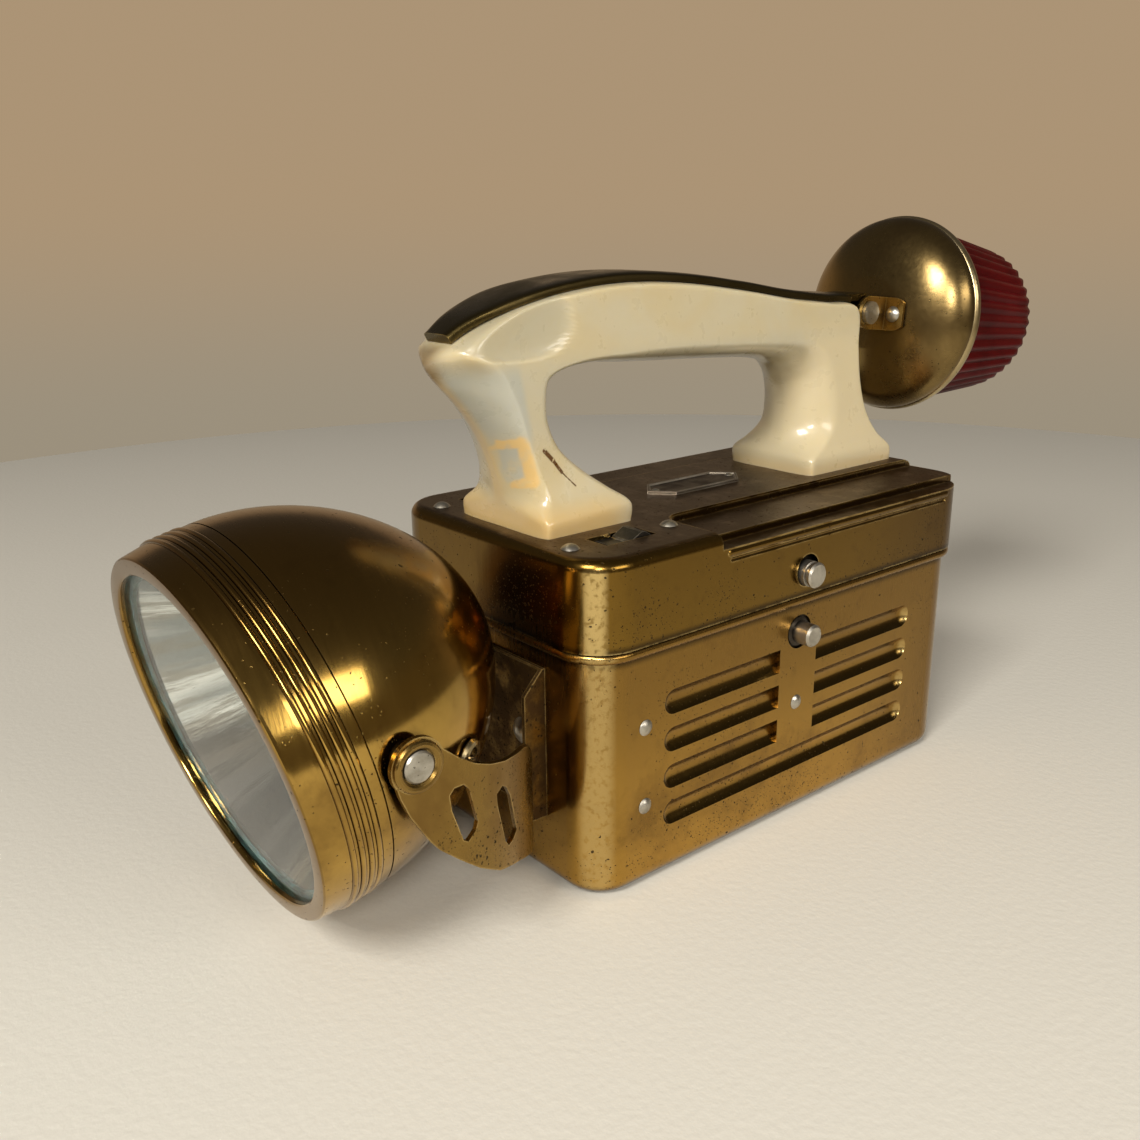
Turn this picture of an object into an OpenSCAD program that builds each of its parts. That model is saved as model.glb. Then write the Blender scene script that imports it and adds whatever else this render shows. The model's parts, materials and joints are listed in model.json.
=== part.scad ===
// Emergency lantern: tilting headlamp in front, tilting flasher behind, lift-off lid with a carrying handle.
// Millimetres. Origin at the middle of the case's underside, front (headlamp) to -Y, up +Z.

/* [Case] */
// length of the lid, front to back
lid_len = 150; // [142:158]
// width of the lid
lid_wid = 84; // [80:90]
// plan corner radius of the lid
lid_r = 12.5; // [11:14]
// height of the lid's top
lid_top = 88.5; // [86:94]
// thickness of the pressed sheet
sheet = 1; // [0.8:0.1:1.1]
// step between the lid's wall and the case's wall
case_inset = 1.8; // [1.8:0.1:2.2]
// height of the middle of the seam bead
bead_z = 64.2; // [63:66]
// radius of the seam bead
bead_r = 1.4; // [1.2:0.1:1.5]
// height of the neck above the middle of the bead
neck_up = 5.8; // [4:7]
// radius round the underside
foot_r = 4.5; // [3:5]
// clearance between faces that are assembled
gap = 0.05; // [0.03:0.01:0.08]

/* [Side grooves] */
// radius of the grooving tool
groove_r = 4; // [3.5:4.5]
// depth of a groove
groove_depth = 1.8; // [1.2:0.1:2]
// distance of a groove's end from the lid's end
groove_end = 25; // [23:30]
// height of the lowest groove
groove_low = 17.3; // [15:19]
// spacing of the grooves
groove_pitch = 10.2; // [9.8:0.1:10.4]
// half width of the plain strip between the grooves
strap_half = 7.5; // [7.5:9]

/* [Lid steps] */
// where the stepped part starts, behind the front end
step_back = 42; // [40:46]
// half width of the raised middle
plate_half = 20.5; // [19:22]
// half width of the middle ledge
ledge_half = 36.5; // [34:38]
// drop from the top to the middle ledge
ledge_drop = 2.1; // [1.5:0.1:2.5]
// drop from the top to the outer ledge
lip_drop = 4.1; // [3.5:0.1:4.6]
// radius of the lid's top edge
lid_edge = 3; // [2.5:0.5:3.5]
// radius in the corners of the step
step_r = 6; // [4:7]

/* [Latches] */
// height of the catch
catch_z = 71.7; // [71:72.5]
// radius of the catch
catch_r = 3.5; // [3:0.1:3.8]
// height of the button
button_z = 54.7; // [53:56]
// radius of the button
button_r = 3.1; // [2.8:0.1:3.5]
// how far catch and button stand out from the lid's wall
stud_out = 3.5; // [3:0.1:4]
// height where the leaf bends
leaf_z = 40.75; // [40:42]
// thickness of the leaf
leaf_t = 0.8; // [0.6:0.1:0.9]
// half width of the leaf
leaf_half = 6; // [5:6]

/* [Switches] */
// distance of a switch from the middle
switch_x = 27; // [26.5:28]
// distance of a switch behind the lid's front end
switch_back = 22; // [21:23]
// length of the slot
slot_len = 16; // [15:17]
// width of the slot
slot_wid = 7.6; // [7:8]
// travel of the slider
slide_travel = 7.5; // [6:8]

/* [Headlamp] */
// radius of the lamp's shell
lamp_r = 45.3; // [43:46]
// length of the lamp from the front rim to the back
lamp_len = 70; // [66:72]
// length of the bezel
bezel_len = 16.3; // [15:18]
// width of the lip round the opening
lip_wid = 5.2; // [4.5:0.1:6]
// thickness of the lamp's sheet
lamp_t = 0.8; // [0.7:0.1:1]
// thickness of the glass
glass_t = 2.4; // [2:0.2:3]
// distance of the pivot behind the front rim
pivot_in = 23.7; // [22:25]
// distance of the pivot in front of the case
pivot_out = 52.3; // [51:56]
// height of the pivot
pivot_z = 59.3; // [57:62]
// how far the lamp points down as photographed
lamp_tilt = 13.5; // [0:15]
// radius of a pivot pin
pin_r = 2.5; // [2:0.1:3]
// running clearance of a pivot, on the radius
run_gap = 0.05; // [0.03:0.01:0.08]

/* [Yoke] */
// thickness of the yoke's sheet
yoke_t = 1.2; // [1:0.1:1.5]
// half width of the plate on the case
yoke_half = 22; // [20:24]
// depth of the side flanges
flange_out = 6.6; // [6:8]
// radius that the arms are rolled to
arm_r = 41.6; // [40:43]
// gap between the lamp's side and an ear
ear_gap = 1.3; // [1.2:0.1:2]
// radius of an ear
ear_r = 6.2; // [6:7]

/* [Flasher] */
// radius of the flasher's rim
flash_r = 30; // [28:31]
// depth of the flasher's dome
flash_dome = 13.5; // [12:15]
// length of the red lens
flash_len = 46; // [42:48]
// narrowing of the red lens
flash_taper = 0.82; // [0.78:0.01:0.88]
// number of flutes
flutes = 40; // [36:44]
// how far the flasher droops as photographed
flash_droop = 5.5; // [0:8]
// distance of its pivot behind the middle of the case
flash_y = 66.6; // [66:68]
// height of its pivot above the lid
flash_up = 44.6; // [44:46]
// distance from its pivot to the rim
flash_reach = 21.7; // [21:23]

/* [Handle] */
// half width of the grip
grip_half = 12.2; // [11.5:13]
// thickness of the strip over the grip
strip_t = 2.6; // [2:0.2:3]
// half width of that strip
strip_half = 9.4; // [9:10]
// radius of a handle screw
screw_r = 2.4; // [2:0.1:2.6]

/* [Battery] */
// width and height of the battery
batt_wid = 66; // [64:66]
// room behind the battery
batt_room = 6; // [4:8]
// room for the springs in front of the battery
spring_room = 15.9; // [15.8:0.1:17]

/* [Hidden] */
$fn = 64;
hx = lid_wid / 2 - case_inset;
hy = lid_len / 2 - case_inset;
case_r = lid_r - case_inset;
neck_top = bead_z + neck_up;
lid_low = bead_z + bead_r + gap;
leaf_x = hx - sheet - gap;
stud_x = lid_wid / 2 + stud_out;
lid_hole_r = catch_r + 0.9;
lid_hole_z = catch_z + 0.8;
button_hole_r = button_r + 1.7;
rivet_r = 1.4;
strap_rivet_z = groove_low + 1.64 * groove_pitch;
groove_x = hx + groove_r - groove_depth;
groove_half = lid_len / 2 - groove_end;
side_rivet_y = -groove_half - 6.7;
step_y = -lid_len / 2 + step_back;
lip_r = 1.3;
switch_y = -lid_len / 2 + switch_back;
post_half = 16;
lamp_y = -hy - pivot_out;
ear_x = lamp_r + ear_gap;
arm_x = ear_x + yoke_t;
plate_y = -hy - gap;
fold_y = plate_y - yoke_t - flange_out;
arm_y = lamp_y + 7.5;
head_r = ear_r - 2.7;
eye_r = 3.2;
dome_in = bezel_len - 2.5;
lens_open = lamp_r - lip_wid;
bowl_r = lamp_r - 4.7;
bowl_in = 7.7;
bowl_deep = 32;
lug_half = 6;
ear_t = 1;
flash_flat = 0.9;
batt_z = sheet + 0.2;
board_t = 2.4;
bracket_low = 12;
bracket_high = 58;
board_half = leaf_x - 9.15;
web_y = -groove_half - 2.25;
board_y = web_y + board_t + 3 * gap;
batt_y = hy - sheet - batt_room;
batt_len = batt_y - board_y - spring_room;
seg = 4;
strip_end = 15.85;
screw_ys = [-57.5, 50.25];
pin_ys = [-82, 46];
sides = 6;

// outer point, inner point, half width and squareness of the handle's sections, heights above the lid
spine = [
    [-69.3, 0, -40.2, 0, 18, 3, 5, 3, 5],
    [-69.3, 3.6, -40.2, 4.8, 18, 3, 5, 3, 5],
    [-69.6, 7, -43.8, 8.6, 15.2, 4.5, 1.9, 3.5, 2.6],
    [-70.8, 12.5, -50.6, 14, 13, 5.2, 1.5, 4, 2.2],
    [-72.8, 18.5, -56.6, 19.8, 12.2, 5.6, 1.45, 4, 2],
    [-76.2, 25, -59.9, 26, 12.2, 6.6, 1.4, 4, 2],
    [-81.2, 31.5, -60.6, 31.6, 12.2, 9.5, 1.35, 4, 2],
    [-89.6, 41.5, -58.6, 36.6, 12.2, 14, 1.35, 5, 2],
    [-83.5, 47.4, -52.6, 38.6, 12.2, 4, 3, 5, 2],
    [-69, 53.9, -43.5, 38.6, 12.2, 2, 5, 5, 1.8],
    [-52, 57.1, -33, 37.8, 12.2, 2, 5, 5, 1.8],
    [-34, 58.2, -24, 37.2, 12.2, 2, 5, 5, 1.8],
    [-14, 57.1, -11, 36.5, 12.2, 2, 5, 5, 1.8],
    [8, 54.2, 5, 35.6, 12.2, 2, 5, 5, 1.8],
    [27, 51.1, 19, 34.4, 12.2, 2, 5, 6, 1.9],
    [43, 49.2, 28.5, 32, 12.2, 2, 5, 9, 1.9],
    [55.6, 47.4, 33, 27, 12.2, 2.5, 4, 12, 1.9],
    [57.8, 36.5, 34.4, 22, 12.2, 3, 3, 13, 1.9],
    [59.4, 25.5, 34.8, 16.5, 12.6, 3, 3, 13, 1.9],
    [62.2, 16, 34.2, 11.5, 13.4, 3, 3, 12, 1.9],
    [66.4, 9, 32.6, 7.4, 14.8, 3, 3, 7, 2.2],
    [71.3, 4.2, 31.2, 4.4, 16, 3, 4, 3, 4],
    [71.8, 0, 31.2, 0, 16, 3, 4, 3, 4]
];

function clampi(i, n) = min(max(i, 0), n - 1);
function curve(a, b, c, d, t) =
    0.5 * (2 * b + (c - a) * t + (2 * a - 5 * b + 4 * c - d) * t * t + (3 * b - a - 3 * c + d) * t * t * t);
function along(list, u) =
    let (n = len(list), i = min(floor(u), n - 2), t = u - i)
    curve(list[clampi(i - 1, n)], list[i], list[i + 1], list[clampi(i + 2, n)], t);

// thumb hollows at both sides of the handle's nose
function dish(y, z) =
    let (a = ((y + 74) * 0.94 + (z - 50.5) * 0.342) / 17, b = ((y + 74) * 0.342 - (z - 50.5) * 0.94) / 8,
        q = a * a + b * b)
    q < 1 ? 2.2 * pow(1 - q, 0.7) : 0;

// half of a section, from the seam outside to the seam inside: across, and inwards
function half_ring(row, wide) =
    let (l = norm([row[2] - row[0], row[3] - row[1]]), w = row[4] * wide, eo = 2 / row[6], ei = 2 / row[8])
    concat(
        [for (k = [0 : sides])
            let (t = 90 * k / sides)
            [w * pow(sin(t), eo), row[5] * (1 - pow(cos(t), eo))]],
        [for (k = [0 : sides])
            let (t = 90 * k / sides)
            [w * pow(cos(t), ei), l - row[7] * (1 - pow(sin(t), ei))]]
    );

function section(row, wide) =
    let (l = norm([row[2] - row[0], row[3] - row[1]]), dy = (row[2] - row[0]) / l, dz = (row[3] - row[1]) / l,
        half = half_ring(row, wide), n = len(half))
    [for (k = [0 : 2 * n - 3])
        let (h = half[k < n ? k : 2 * n - 2 - k], y = row[0] + dy * h[1], z = row[1] + dz * h[1],
            x = h[0] - dish(y, z) * min(1, h[0] / 6))
        [k < n ? x : -x, y, z]];

// joins rings of equally many points into one closed body
module skin(rings) {
    m = len(rings);
    k = len(rings[0]);
    polyhedron(
        points = [for (ring = rings) for (p = ring) p],
        faces = concat(
            [[for (j = [0 : k - 1]) j]],
            [[for (j = [0 : k - 1]) (m - 1) * k + k - 1 - j]],
            [for (i = [0 : m - 2]) for (j = [0 : k - 1])
                [i * k + j, (i + 1) * k + j, (i + 1) * k + (j + 1) % k]],
            [for (i = [0 : m - 2]) for (j = [0 : k - 1])
                [i * k + j, (i + 1) * k + (j + 1) % k, i * k + (j + 1) % k]]
        )
    );
}

// box with upright rounded corners
module block(l, w, h, r) {
    linear_extrude(h) {
        square([w - 2 * r, l], center = true);
        square([w, l - 2 * r], center = true);
        for (sx = [-1, 1]) for (sy = [-1, 1])
            translate([sx * (w / 2 - r), sy * (l / 2 - r)])
                circle(r);
    }
}

// half of a wall's profile with a rounded lower corner
module low_round(w, h, rb) {
    translate([0, rb])
        square([w, h - rb]);
    square([w - rb, rb + 0.01]);
    intersection() {
        translate([w - rb, rb])
            circle(rb);
        square([w, h]);
    }
}

// rounded box whose underside edge is rounded too
module tub(l, w, h, r, rb) {
    for (m = [0, 1]) for (sy = [-1, 1])
        mirror([m, 0, 0])
            translate([w / 2 - r, sy * (l / 2 - r), 0])
                rotate_extrude()
                    low_round(r, h, rb);
    for (m = [0, 1]) {
        mirror([m, 0, 0])
            rotate([90, 0, 0])
                translate([0, 0, -(l / 2 - r)])
                    linear_extrude(l - 2 * r)
                        low_round(w / 2, h, rb);
        mirror([0, m, 0])
            rotate([90, 0, 90])
                translate([0, 0, -(w / 2 - r)])
                    linear_extrude(w - 2 * r)
                        low_round(l / 2, h, rb);
    }
}

// flat ring-edged slab with a half-round rim
module bead_slab(l, w, r, br) {
    for (sx = [-1, 1]) for (sy = [-1, 1])
        translate([sx * (w / 2 - r), sy * (l / 2 - r), 0])
            rotate_extrude() {
                translate([0, -br])
                    square([r, 2 * br]);
                intersection() {
                    translate([r, 0])
                        circle(br);
                    translate([0, -br])
                        square([r + br, 2 * br]);
                }
            }
    cube([w, l - 2 * r, 2 * br], center = true);
    cube([w - 2 * r, l, 2 * br], center = true);
    for (s = [-1, 1]) {
        translate([s * w / 2, l / 2 - r, 0])
            rotate([90, 0, 0])
                cylinder(r = br, h = l - 2 * r);
        translate([-(w / 2 - r), s * l / 2, 0])
            rotate([0, 90, 0])
                cylinder(r = br, h = w - 2 * r);
    }
}

// domed rivet along +Z: head above z = 0, tail below -grip
module rivet(head_r, head_h, shank_r, grip, tail_h) {
    ball = (head_r * head_r + head_h * head_h) / (2 * head_h);
    intersection() {
        translate([0, 0, head_h - ball])
            sphere(ball);
        cylinder(r = head_r + 1, h = head_h + 1);
    }
    translate([0, 0, -grip - tail_h])
        cylinder(r = shank_r, h = grip + tail_h + head_h / 2);
    translate([0, 0, -grip - tail_h])
        cylinder(r = shank_r * 1.5, h = tail_h);
}

// puts a piece built along +Z on both long sides, pointing outwards
module on_sides(x, y, z) {
    for (m = [0, 1])
        mirror([m, 0, 0])
            translate([x, y, z])
                rotate([0, 90, 0])
                    children();
}

module groove_tool(r, y0, y1, end0, end1) {
    translate([0, y0, 0])
        rotate([-90, 0, 0])
            cylinder(r = r, h = y1 - y0);
    if (end0)
        translate([0, y0, 0])
            sphere(r);
    if (end1)
        translate([0, y1, 0])
            sphere(r);
}

// all grooves of one side, grown by g
module grooves(g) {
    e = groove_half - 3;
    for (k = [0 : 3])
        translate([groove_x, 0, groove_low + k * groove_pitch])
            if (k == 0) {
                groove_tool(groove_r + g, -e, e, true, true);
            } else {
                groove_tool(groove_r + g, -e, -strap_half + g, true, false);
                groove_tool(groove_r + g, strap_half - g, e, false, true);
            }
}

module case_shell() {
    color("goldenrod")
        difference() {
            union() {
                tub(2 * hy, 2 * hx, neck_top, case_r, foot_r);
                translate([0, 0, bead_z])
                    bead_slab(lid_len - 2 * bead_r, lid_wid - 2 * bead_r, lid_r - bead_r, bead_r);
            }
            difference() {
                translate([0, 0, sheet])
                    tub(2 * (hy - sheet), 2 * (hx - sheet), lid_top, case_r - sheet, foot_r - sheet);
                for (m = [0, 1])
                    mirror([m, 0, 0])
                        grooves(sheet);
            }
            for (m = [0, 1])
                mirror([m, 0, 0])
                    grooves(0);
            on_sides(hx - 3 * sheet, 0, button_z)
                cylinder(r = button_hole_r, h = 6 * sheet);
            on_sides(hx - 3 * sheet, 0, strap_rivet_z)
                cylinder(r = rivet_r + gap, h = 6 * sheet);
            for (z = [22.4, 43.7])
                on_sides(hx - 3 * sheet, side_rivet_y, z)
                    cylinder(r = rivet_r + gap, h = 6 * sheet);
            for (m = [0, 1])
                mirror([m, 0, 0])
                    translate([hx - 3 * sheet, -catch_r - 1.5, catch_z - catch_r - 1.2])
                        cube([4 * sheet, 2 * catch_r + 3, 40]);
            for (s = [-1, 1])
                translate([s * 14, -hy - 3 * sheet, 39])
                    rotate([-90, 0, 0])
                        cylinder(r = rivet_r + gap, h = 6 * sheet);
        }
}

// side outline of the yoke's arm: y in front of the lamp pivot is negative, z from the pivot
module arm_outline() {
    polygon([[-ear_r, 0.7], [-4.4, -5.8], [-2.4, -10.6], [1.9, -17.6], [4.1, -20.4], [8.9, -24.6],
        [14.2, -28.9], [20.4, -32.7], [28.7, -35.2], [36, -38.6], [44.5, -41.3], [60, -41.3],
        [60, -1.3], [51.4, -1.3], [45.8, -7.2], [45.8, -19.5], [43.6, -20.6], [41.4, -18.2],
        [38.6, -14.2], [35.6, -11], [32, -9.2], [28, -8.5], [23, -7.6], [18.3, -6.1],
        [13.9, -4.1], [10, -1.5], [6.5, 1.5], [3.6, 4.2], [0, ear_r]]);
    circle(ear_r);
}

// slanted windows in the arm
module arm_slots() {
    polygon([[7, -9], [8.2, -7.7], [10.6, -7.7], [11.9, -9.2], [14, -17.6], [13.3, -19.5], [11.2, -21.2],
        [10, -20.4], [7.4, -12.6]]);
    polygon([[20, -14], [22, -13], [23.4, -13.9], [25, -16.9], [27.3, -26.6], [25.6, -28], [23.8, -28.5],
        [22.6, -26.6], [20.2, -16.8]]);
}

// right half of the yoke's sheet, full height
module yoke_sheet() {
    cx = arm_x - arm_r;
    turn = asin(min(0.98, (fold_y - arm_y) / arm_r));
    end_x = cx + (arm_r - yoke_t / 2) * cos(turn);
    translate([ear_x, lamp_y - ear_r - 1, 0])
        cube([yoke_t, arm_y - lamp_y + ear_r + 1.02, lid_top]);
    translate([cx, arm_y, 0])
        rotate_extrude(angle = turn, $fn = 160)
            translate([arm_r - yoke_t, 0])
                square([yoke_t, lid_top]);
    translate([yoke_half - yoke_t, fold_y - yoke_t, 0])
        cube([max(yoke_t, end_x - yoke_half + yoke_t), yoke_t, lid_top]);
    translate([yoke_half - yoke_t, fold_y - yoke_t, 0])
        cube([yoke_t, plate_y - fold_y + yoke_t, lid_top]);
    translate([-0.02, plate_y - yoke_t, 0])
        cube([yoke_half + 0.02, yoke_t, lid_top]);
}

module yoke_bracket() {
    color("goldenrod")
        difference() {
            union() {
                intersection() {
                    for (m = [0, 1])
                        mirror([m, 0, 0])
                            yoke_sheet();
                    translate([-100, lamp_y, pivot_z])
                        rotate([90, 0, 90])
                            linear_extrude(200)
                                difference() {
                                    arm_outline();
                                    arm_slots();
                                }
                }
                on_sides(arm_x, lamp_y, pivot_z)
                    rotate_extrude()
                        polygon([[head_r + 0.15, -0.3], [ear_r - 0.5, -0.3], [ear_r - 0.55, 0.45],
                            [ear_r - 0.9, 0.85], [ear_r - 1.4, 1], [ear_r - 1.95, 0.85],
                            [head_r + 0.2, 0.4]]);
            }
            on_sides(ear_x - 2, lamp_y, pivot_z)
                cylinder(r = pin_r + run_gap, h = 8);
            for (s = [-1, 1])
                translate([s * 14, plate_y - 3 * yoke_t, 39])
                    rotate([-90, 0, 0])
                        cylinder(r = rivet_r + gap, h = 6 * yoke_t);
        }
}

module yoke_rivets() {
    color("silver")
        for (s = [-1, 1])
            translate([s * 14, plate_y - yoke_t - gap, 39])
                rotate([90, 0, 0])
                    rivet(3.6, 1.7, rivet_r, yoke_t + sheet + 3 * gap, 0.8);
}

module side_rivets() {
    color("silver")
        for (z = [22.4, 43.7])
            on_sides(hx + gap, side_rivet_y, z)
                rivet(2.1, 0.9, rivet_r, 2 * sheet + 3 * gap, 0.8);
}

module strap_rivets() {
    color("silver")
        on_sides(hx + gap, 0, strap_rivet_z)
            rivet(2.1, 0.9, rivet_r, sheet + leaf_t + 3 * gap, 0.8);
}

module contact_bracket() {
    color("goldenrod")
        difference() {
            union() {
                translate([-leaf_x, web_y - sheet, bracket_low])
                    cube([2 * leaf_x, sheet, bracket_high - bracket_low]);
                for (m = [0, 1])
                    mirror([m, 0, 0])
                        translate([leaf_x - sheet, side_rivet_y - 5, bracket_low])
                            cube([sheet, web_y - side_rivet_y + 5, bracket_high - bracket_low]);
            }
            for (z = [22.4, 43.7])
                on_sides(hx - 4 * sheet, side_rivet_y, z)
                    cylinder(r = rivet_r + gap, h = 8 * sheet);
        }
}

module contact_board() {
    color("saddlebrown")
        translate([-board_half, web_y + gap, bracket_low + 1])
            cube([2 * board_half, board_t, bracket_high - bracket_low - 2]);
}

module contact_strips() {
    color("gold")
        for (s = [-1, 1])
            translate([s * 16 - 7, board_y - 0.05, 20])
                cube([14, 0.5, 30]);
}

module battery() {
    color("dimgray")
        translate([0, batt_y - batt_len, batt_z + batt_wid / 2])
            rotate([-90, 0, 0])
                block(batt_wid, batt_wid, batt_len, 5);
}

module battery_terminals() {
    color("silver")
        for (s = [-1, 1])
            translate([s * 16, batt_y - batt_len - gap, batt_z + batt_wid / 2])
                rotate([90, 0, 0])
                    for (k = [0 : 10])
                        translate([0, 0, 0.8 + k * 1.37])
                            rotate_extrude($fn = 32)
                                translate([6.5 - 0.4 * k, 0])
                                    circle(0.8, $fn = 16);
}

module latch_roots() {
    color("silver")
        difference() {
            for (m = [0, 1])
                mirror([m, 0, 0])
                    translate([leaf_x - leaf_t, -leaf_half, strap_rivet_z - 6.5])
                        cube([leaf_t, 2 * leaf_half, leaf_z - strap_rivet_z + 6.3]);
            on_sides(hx - 4 * sheet, 0, strap_rivet_z)
                cylinder(r = rivet_r + gap, h = 8 * sheet);
        }
}

// leaf with its catch
module latch_leaf() {
    translate([leaf_x - leaf_t, -leaf_half, leaf_z + 0.1])
        cube([leaf_t, 2 * leaf_half, catch_z + 5.5 - leaf_z]);
    translate([leaf_x, 0, catch_z])
        rotate([0, 90, 0])
            rotate_extrude()
                polygon([[0, -0.1], [catch_r, -0.1], [catch_r, stud_x - leaf_x - 2.2],
                    [catch_r - 0.6, stud_x - leaf_x - 1.9], [catch_r - 0.6, stud_x - leaf_x - 1.4],
                    [catch_r, stud_x - leaf_x - 1.1], [catch_r, stud_x - leaf_x - 0.5],
                    [catch_r - 0.5, stud_x - leaf_x], [0, stud_x - leaf_x]]);
}

module latch_leaf_right() {
    color("silver")
        difference() {
            latch_leaf();
            translate([leaf_x - 3, 0, button_z])
                rotate([0, 90, 0])
                    cylinder(r = 1.5 + gap, h = 6);
        }
}

module latch_leaf_left() {
    mirror([1, 0, 0])
        latch_leaf_right();
}

// button riveted to the leaf below the catch
module latch_button() {
    l = stud_x - leaf_x - gap;
    translate([leaf_x + gap, 0, button_z])
        rotate([0, 90, 0]) {
            rotate_extrude()
                polygon([[0, 0], [button_r + 1, 0], [button_r + 1, 0.7], [button_r, 1],
                    [button_r, l - 0.6], [button_r - 0.6, l], [0, l]]);
            translate([0, 0, -leaf_t - 2 * gap - 0.7])
                cylinder(r = 1.5, h = leaf_t + 2 * gap + 1);
            translate([0, 0, -leaf_t - 2 * gap - 0.7])
                cylinder(r = 2.4, h = 0.7);
        }
}

module latch_button_right() {
    color("silver")
        latch_button();
}

module latch_button_left() {
    mirror([1, 0, 0])
        latch_button_right();
}

// takes the lid's top away behind y and outside x, down to z
module step_cut(x, y, r, z) {
    translate([0, 0, z])
        linear_extrude(10) {
            translate([x + r, y])
                square([30, lid_len]);
            translate([x, y + r])
                square([30, lid_len]);
            translate([x + r, y + r])
                circle(r);
        }
}

module lid_solid(d) {
    top = lid_top - d;
    deep = top - lid_low + (d > 0 ? 5 : 0);
    difference() {
        translate([0, 0, top])
            mirror([0, 0, 1])
                tub(lid_len - 2 * d, lid_wid - 2 * d, deep, lid_r - d, lid_edge - d);
        for (m = [0, 1])
            mirror([m, 0, 0]) {
                step_cut(plate_half - d - 0.5, step_y - d - 0.5, step_r + d + 0.5, top - 0.5);
                step_cut(plate_half - d, step_y - d, step_r + d, top - ledge_drop);
                step_cut(ledge_half - d, step_y - d, 3 + d, top - lip_drop);
            }
    }
}

module lid_shell() {
    color("goldenrod")
        difference() {
            union() {
                lid_solid(0);
                for (m = [0, 1])
                    mirror([m, 0, 0])
                        translate([lid_wid / 2 - lip_r + 0.35, 0, lid_top - lip_drop - lip_r])
                            groove_tool(lip_r, step_y + 2.6, lid_len / 2 - lid_r, true, true);
            }
            lid_solid(sheet);
            on_sides(lid_wid / 2 - 3 * sheet, 0, lid_hole_z)
                cylinder(r = lid_hole_r, h = 6 * sheet);
            for (m = [0, 1])
                mirror([m, 0, 0]) {
                    translate([lid_wid / 2 + 0.2, 0, lid_top - lip_drop - 2 * lip_r - 0.45])
                        groove_tool(0.6, step_y + 3.4, lid_len / 2 - lid_r - 1, true, true);
                    translate([switch_x - slot_wid / 2, switch_y - slot_len / 2, lid_top - 3 * sheet])
                        cube([slot_wid, slot_len, 6 * sheet]);
                    for (s = [-1, 1])
                        translate([switch_x, switch_y + s * post_half, lid_top - 3 * sheet])
                            cylinder(r = rivet_r + gap, h = 6 * sheet);
                }
            for (y = screw_ys)
                translate([0, y, lid_top - 3 * sheet])
                    cylinder(r = screw_r + gap, h = 6 * sheet);
            for (y = [-15.8, 13.8])
                translate([0, y, lid_top - 3 * sheet])
                    cylinder(r = 0.8 + gap, h = 6 * sheet);
        }
}

module name_plate() {
    color("khaki")
        translate([0, -1, lid_top + gap])
            difference() {
                union() {
                    linear_extrude(0.5)
                        polygon([[-6, -12.5], [0, -18], [6, -12.5], [6, 12.5], [0, 18], [-6, 12.5]]);
                    linear_extrude(0.9)
                        difference() {
                            polygon([[-6, -12.5], [0, -18], [6, -12.5], [6, 12.5], [0, 18], [-6, 12.5]]);
                            polygon([[-5.3, -12.2], [0, -17], [5.3, -12.2], [5.3, 12.2], [0, 17],
                                [-5.3, 12.2]]);
                        }
                }
                for (s = [-1, 1])
                    translate([0, s * 14.8, -1])
                        cylinder(r = 0.8 + gap, h = 4);
            }
}

module name_plate_rivets() {
    color("silver")
        for (y = [-15.8, 13.8])
            translate([0, y, lid_top + 0.5 + 2 * gap])
                rivet(1.25, 0.6, 0.8, 0.5 + sheet + 3 * gap, 0.6);
}

// channel under the lid that the slider runs in
module switch_frames() {
    top = lid_top - sheet - gap;
    low = 1.9 + 3 * gap;
    half = slot_len / 2 + slide_travel / 2 + 1;
    color("saddlebrown")
        for (m = [0, 1])
            mirror([m, 0, 0])
                difference() {
                    translate([switch_x - 6, switch_y - post_half - 2.5, top - low - 1.2])
                        cube([12, 2 * post_half + 5, low + 1.2]);
                    translate([switch_x - 7, switch_y - half, top - low])
                        cube([14, 2 * half, low + 1]);
                    for (s = [-1, 1])
                        translate([switch_x, switch_y + s * post_half, top - 9])
                            cylinder(r = rivet_r + gap, h = 20);
                }
}

module switch_rivets() {
    low = 1.9 + 3 * gap;
    color("silver")
        for (m = [0, 1])
            mirror([m, 0, 0])
                for (s = [-1, 1])
                    translate([switch_x, switch_y + s * post_half, lid_top + gap])
                        rivet(2.3, 1.2, rivet_r, sheet + low + 1.2 + 3 * gap, 0.7);
}

module switch_slider() {
    base = lid_top - sheet - 2 * gap;
    half = slot_len / 2 + slide_travel / 2 + 0.6;
    translate([switch_x - 5.5, switch_y - half + slide_travel, base - 1.9])
        cube([11, 2 * half - slide_travel, 1.9]);
    translate([switch_x - slot_wid / 2 + 0.4, switch_y - slot_len / 2 + 0.3 + slide_travel, base - 0.1])
        rotate([90, 0, 90])
            linear_extrude(slot_wid - 0.8)
                polygon([[0, 0], [slot_len - 0.6 - slide_travel, 0], [slot_len - 0.9 - slide_travel, 0.7],
                    [(slot_len - slide_travel) / 2 + 0.6, 2.4], [(slot_len - slide_travel) / 2 - 0.6, 2.4],
                    [0.4, 0.7]]);
}

module switch_slider_right() {
    color("lightgray")
        switch_slider();
}

module switch_slider_left() {
    mirror([1, 0, 0])
        switch_slider_right();
}

module handle() {
    n = len(spine);
    rings = [for (i = [0 : (n - 1) * seg])
        let (row = along(spine, i / seg))
        section(row, grip_half / 12.2)];
    color("ivory")
        translate([0, 0, lid_top + gap])
            difference() {
                skin(rings);
                for (y = screw_ys)
                    translate([0, y, -1])
                        cylinder(r = screw_r + gap, h = 16);
                for (y = pin_ys)
                    translate([0, y, strip_root(y) - 8])
                        cylinder(r = 1.6 + gap, h = 20);
            }
}

// height of the grip's top above the lid at y
function strip_root(y) =
    let (us = [for (u = [7 : 0.05 : 16]) if (abs(along(spine, u)[0] - y) < 1) along(spine, u)])
    len(us) == 0 ? 48 : us[floor(len(us) / 2)][1];

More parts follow.
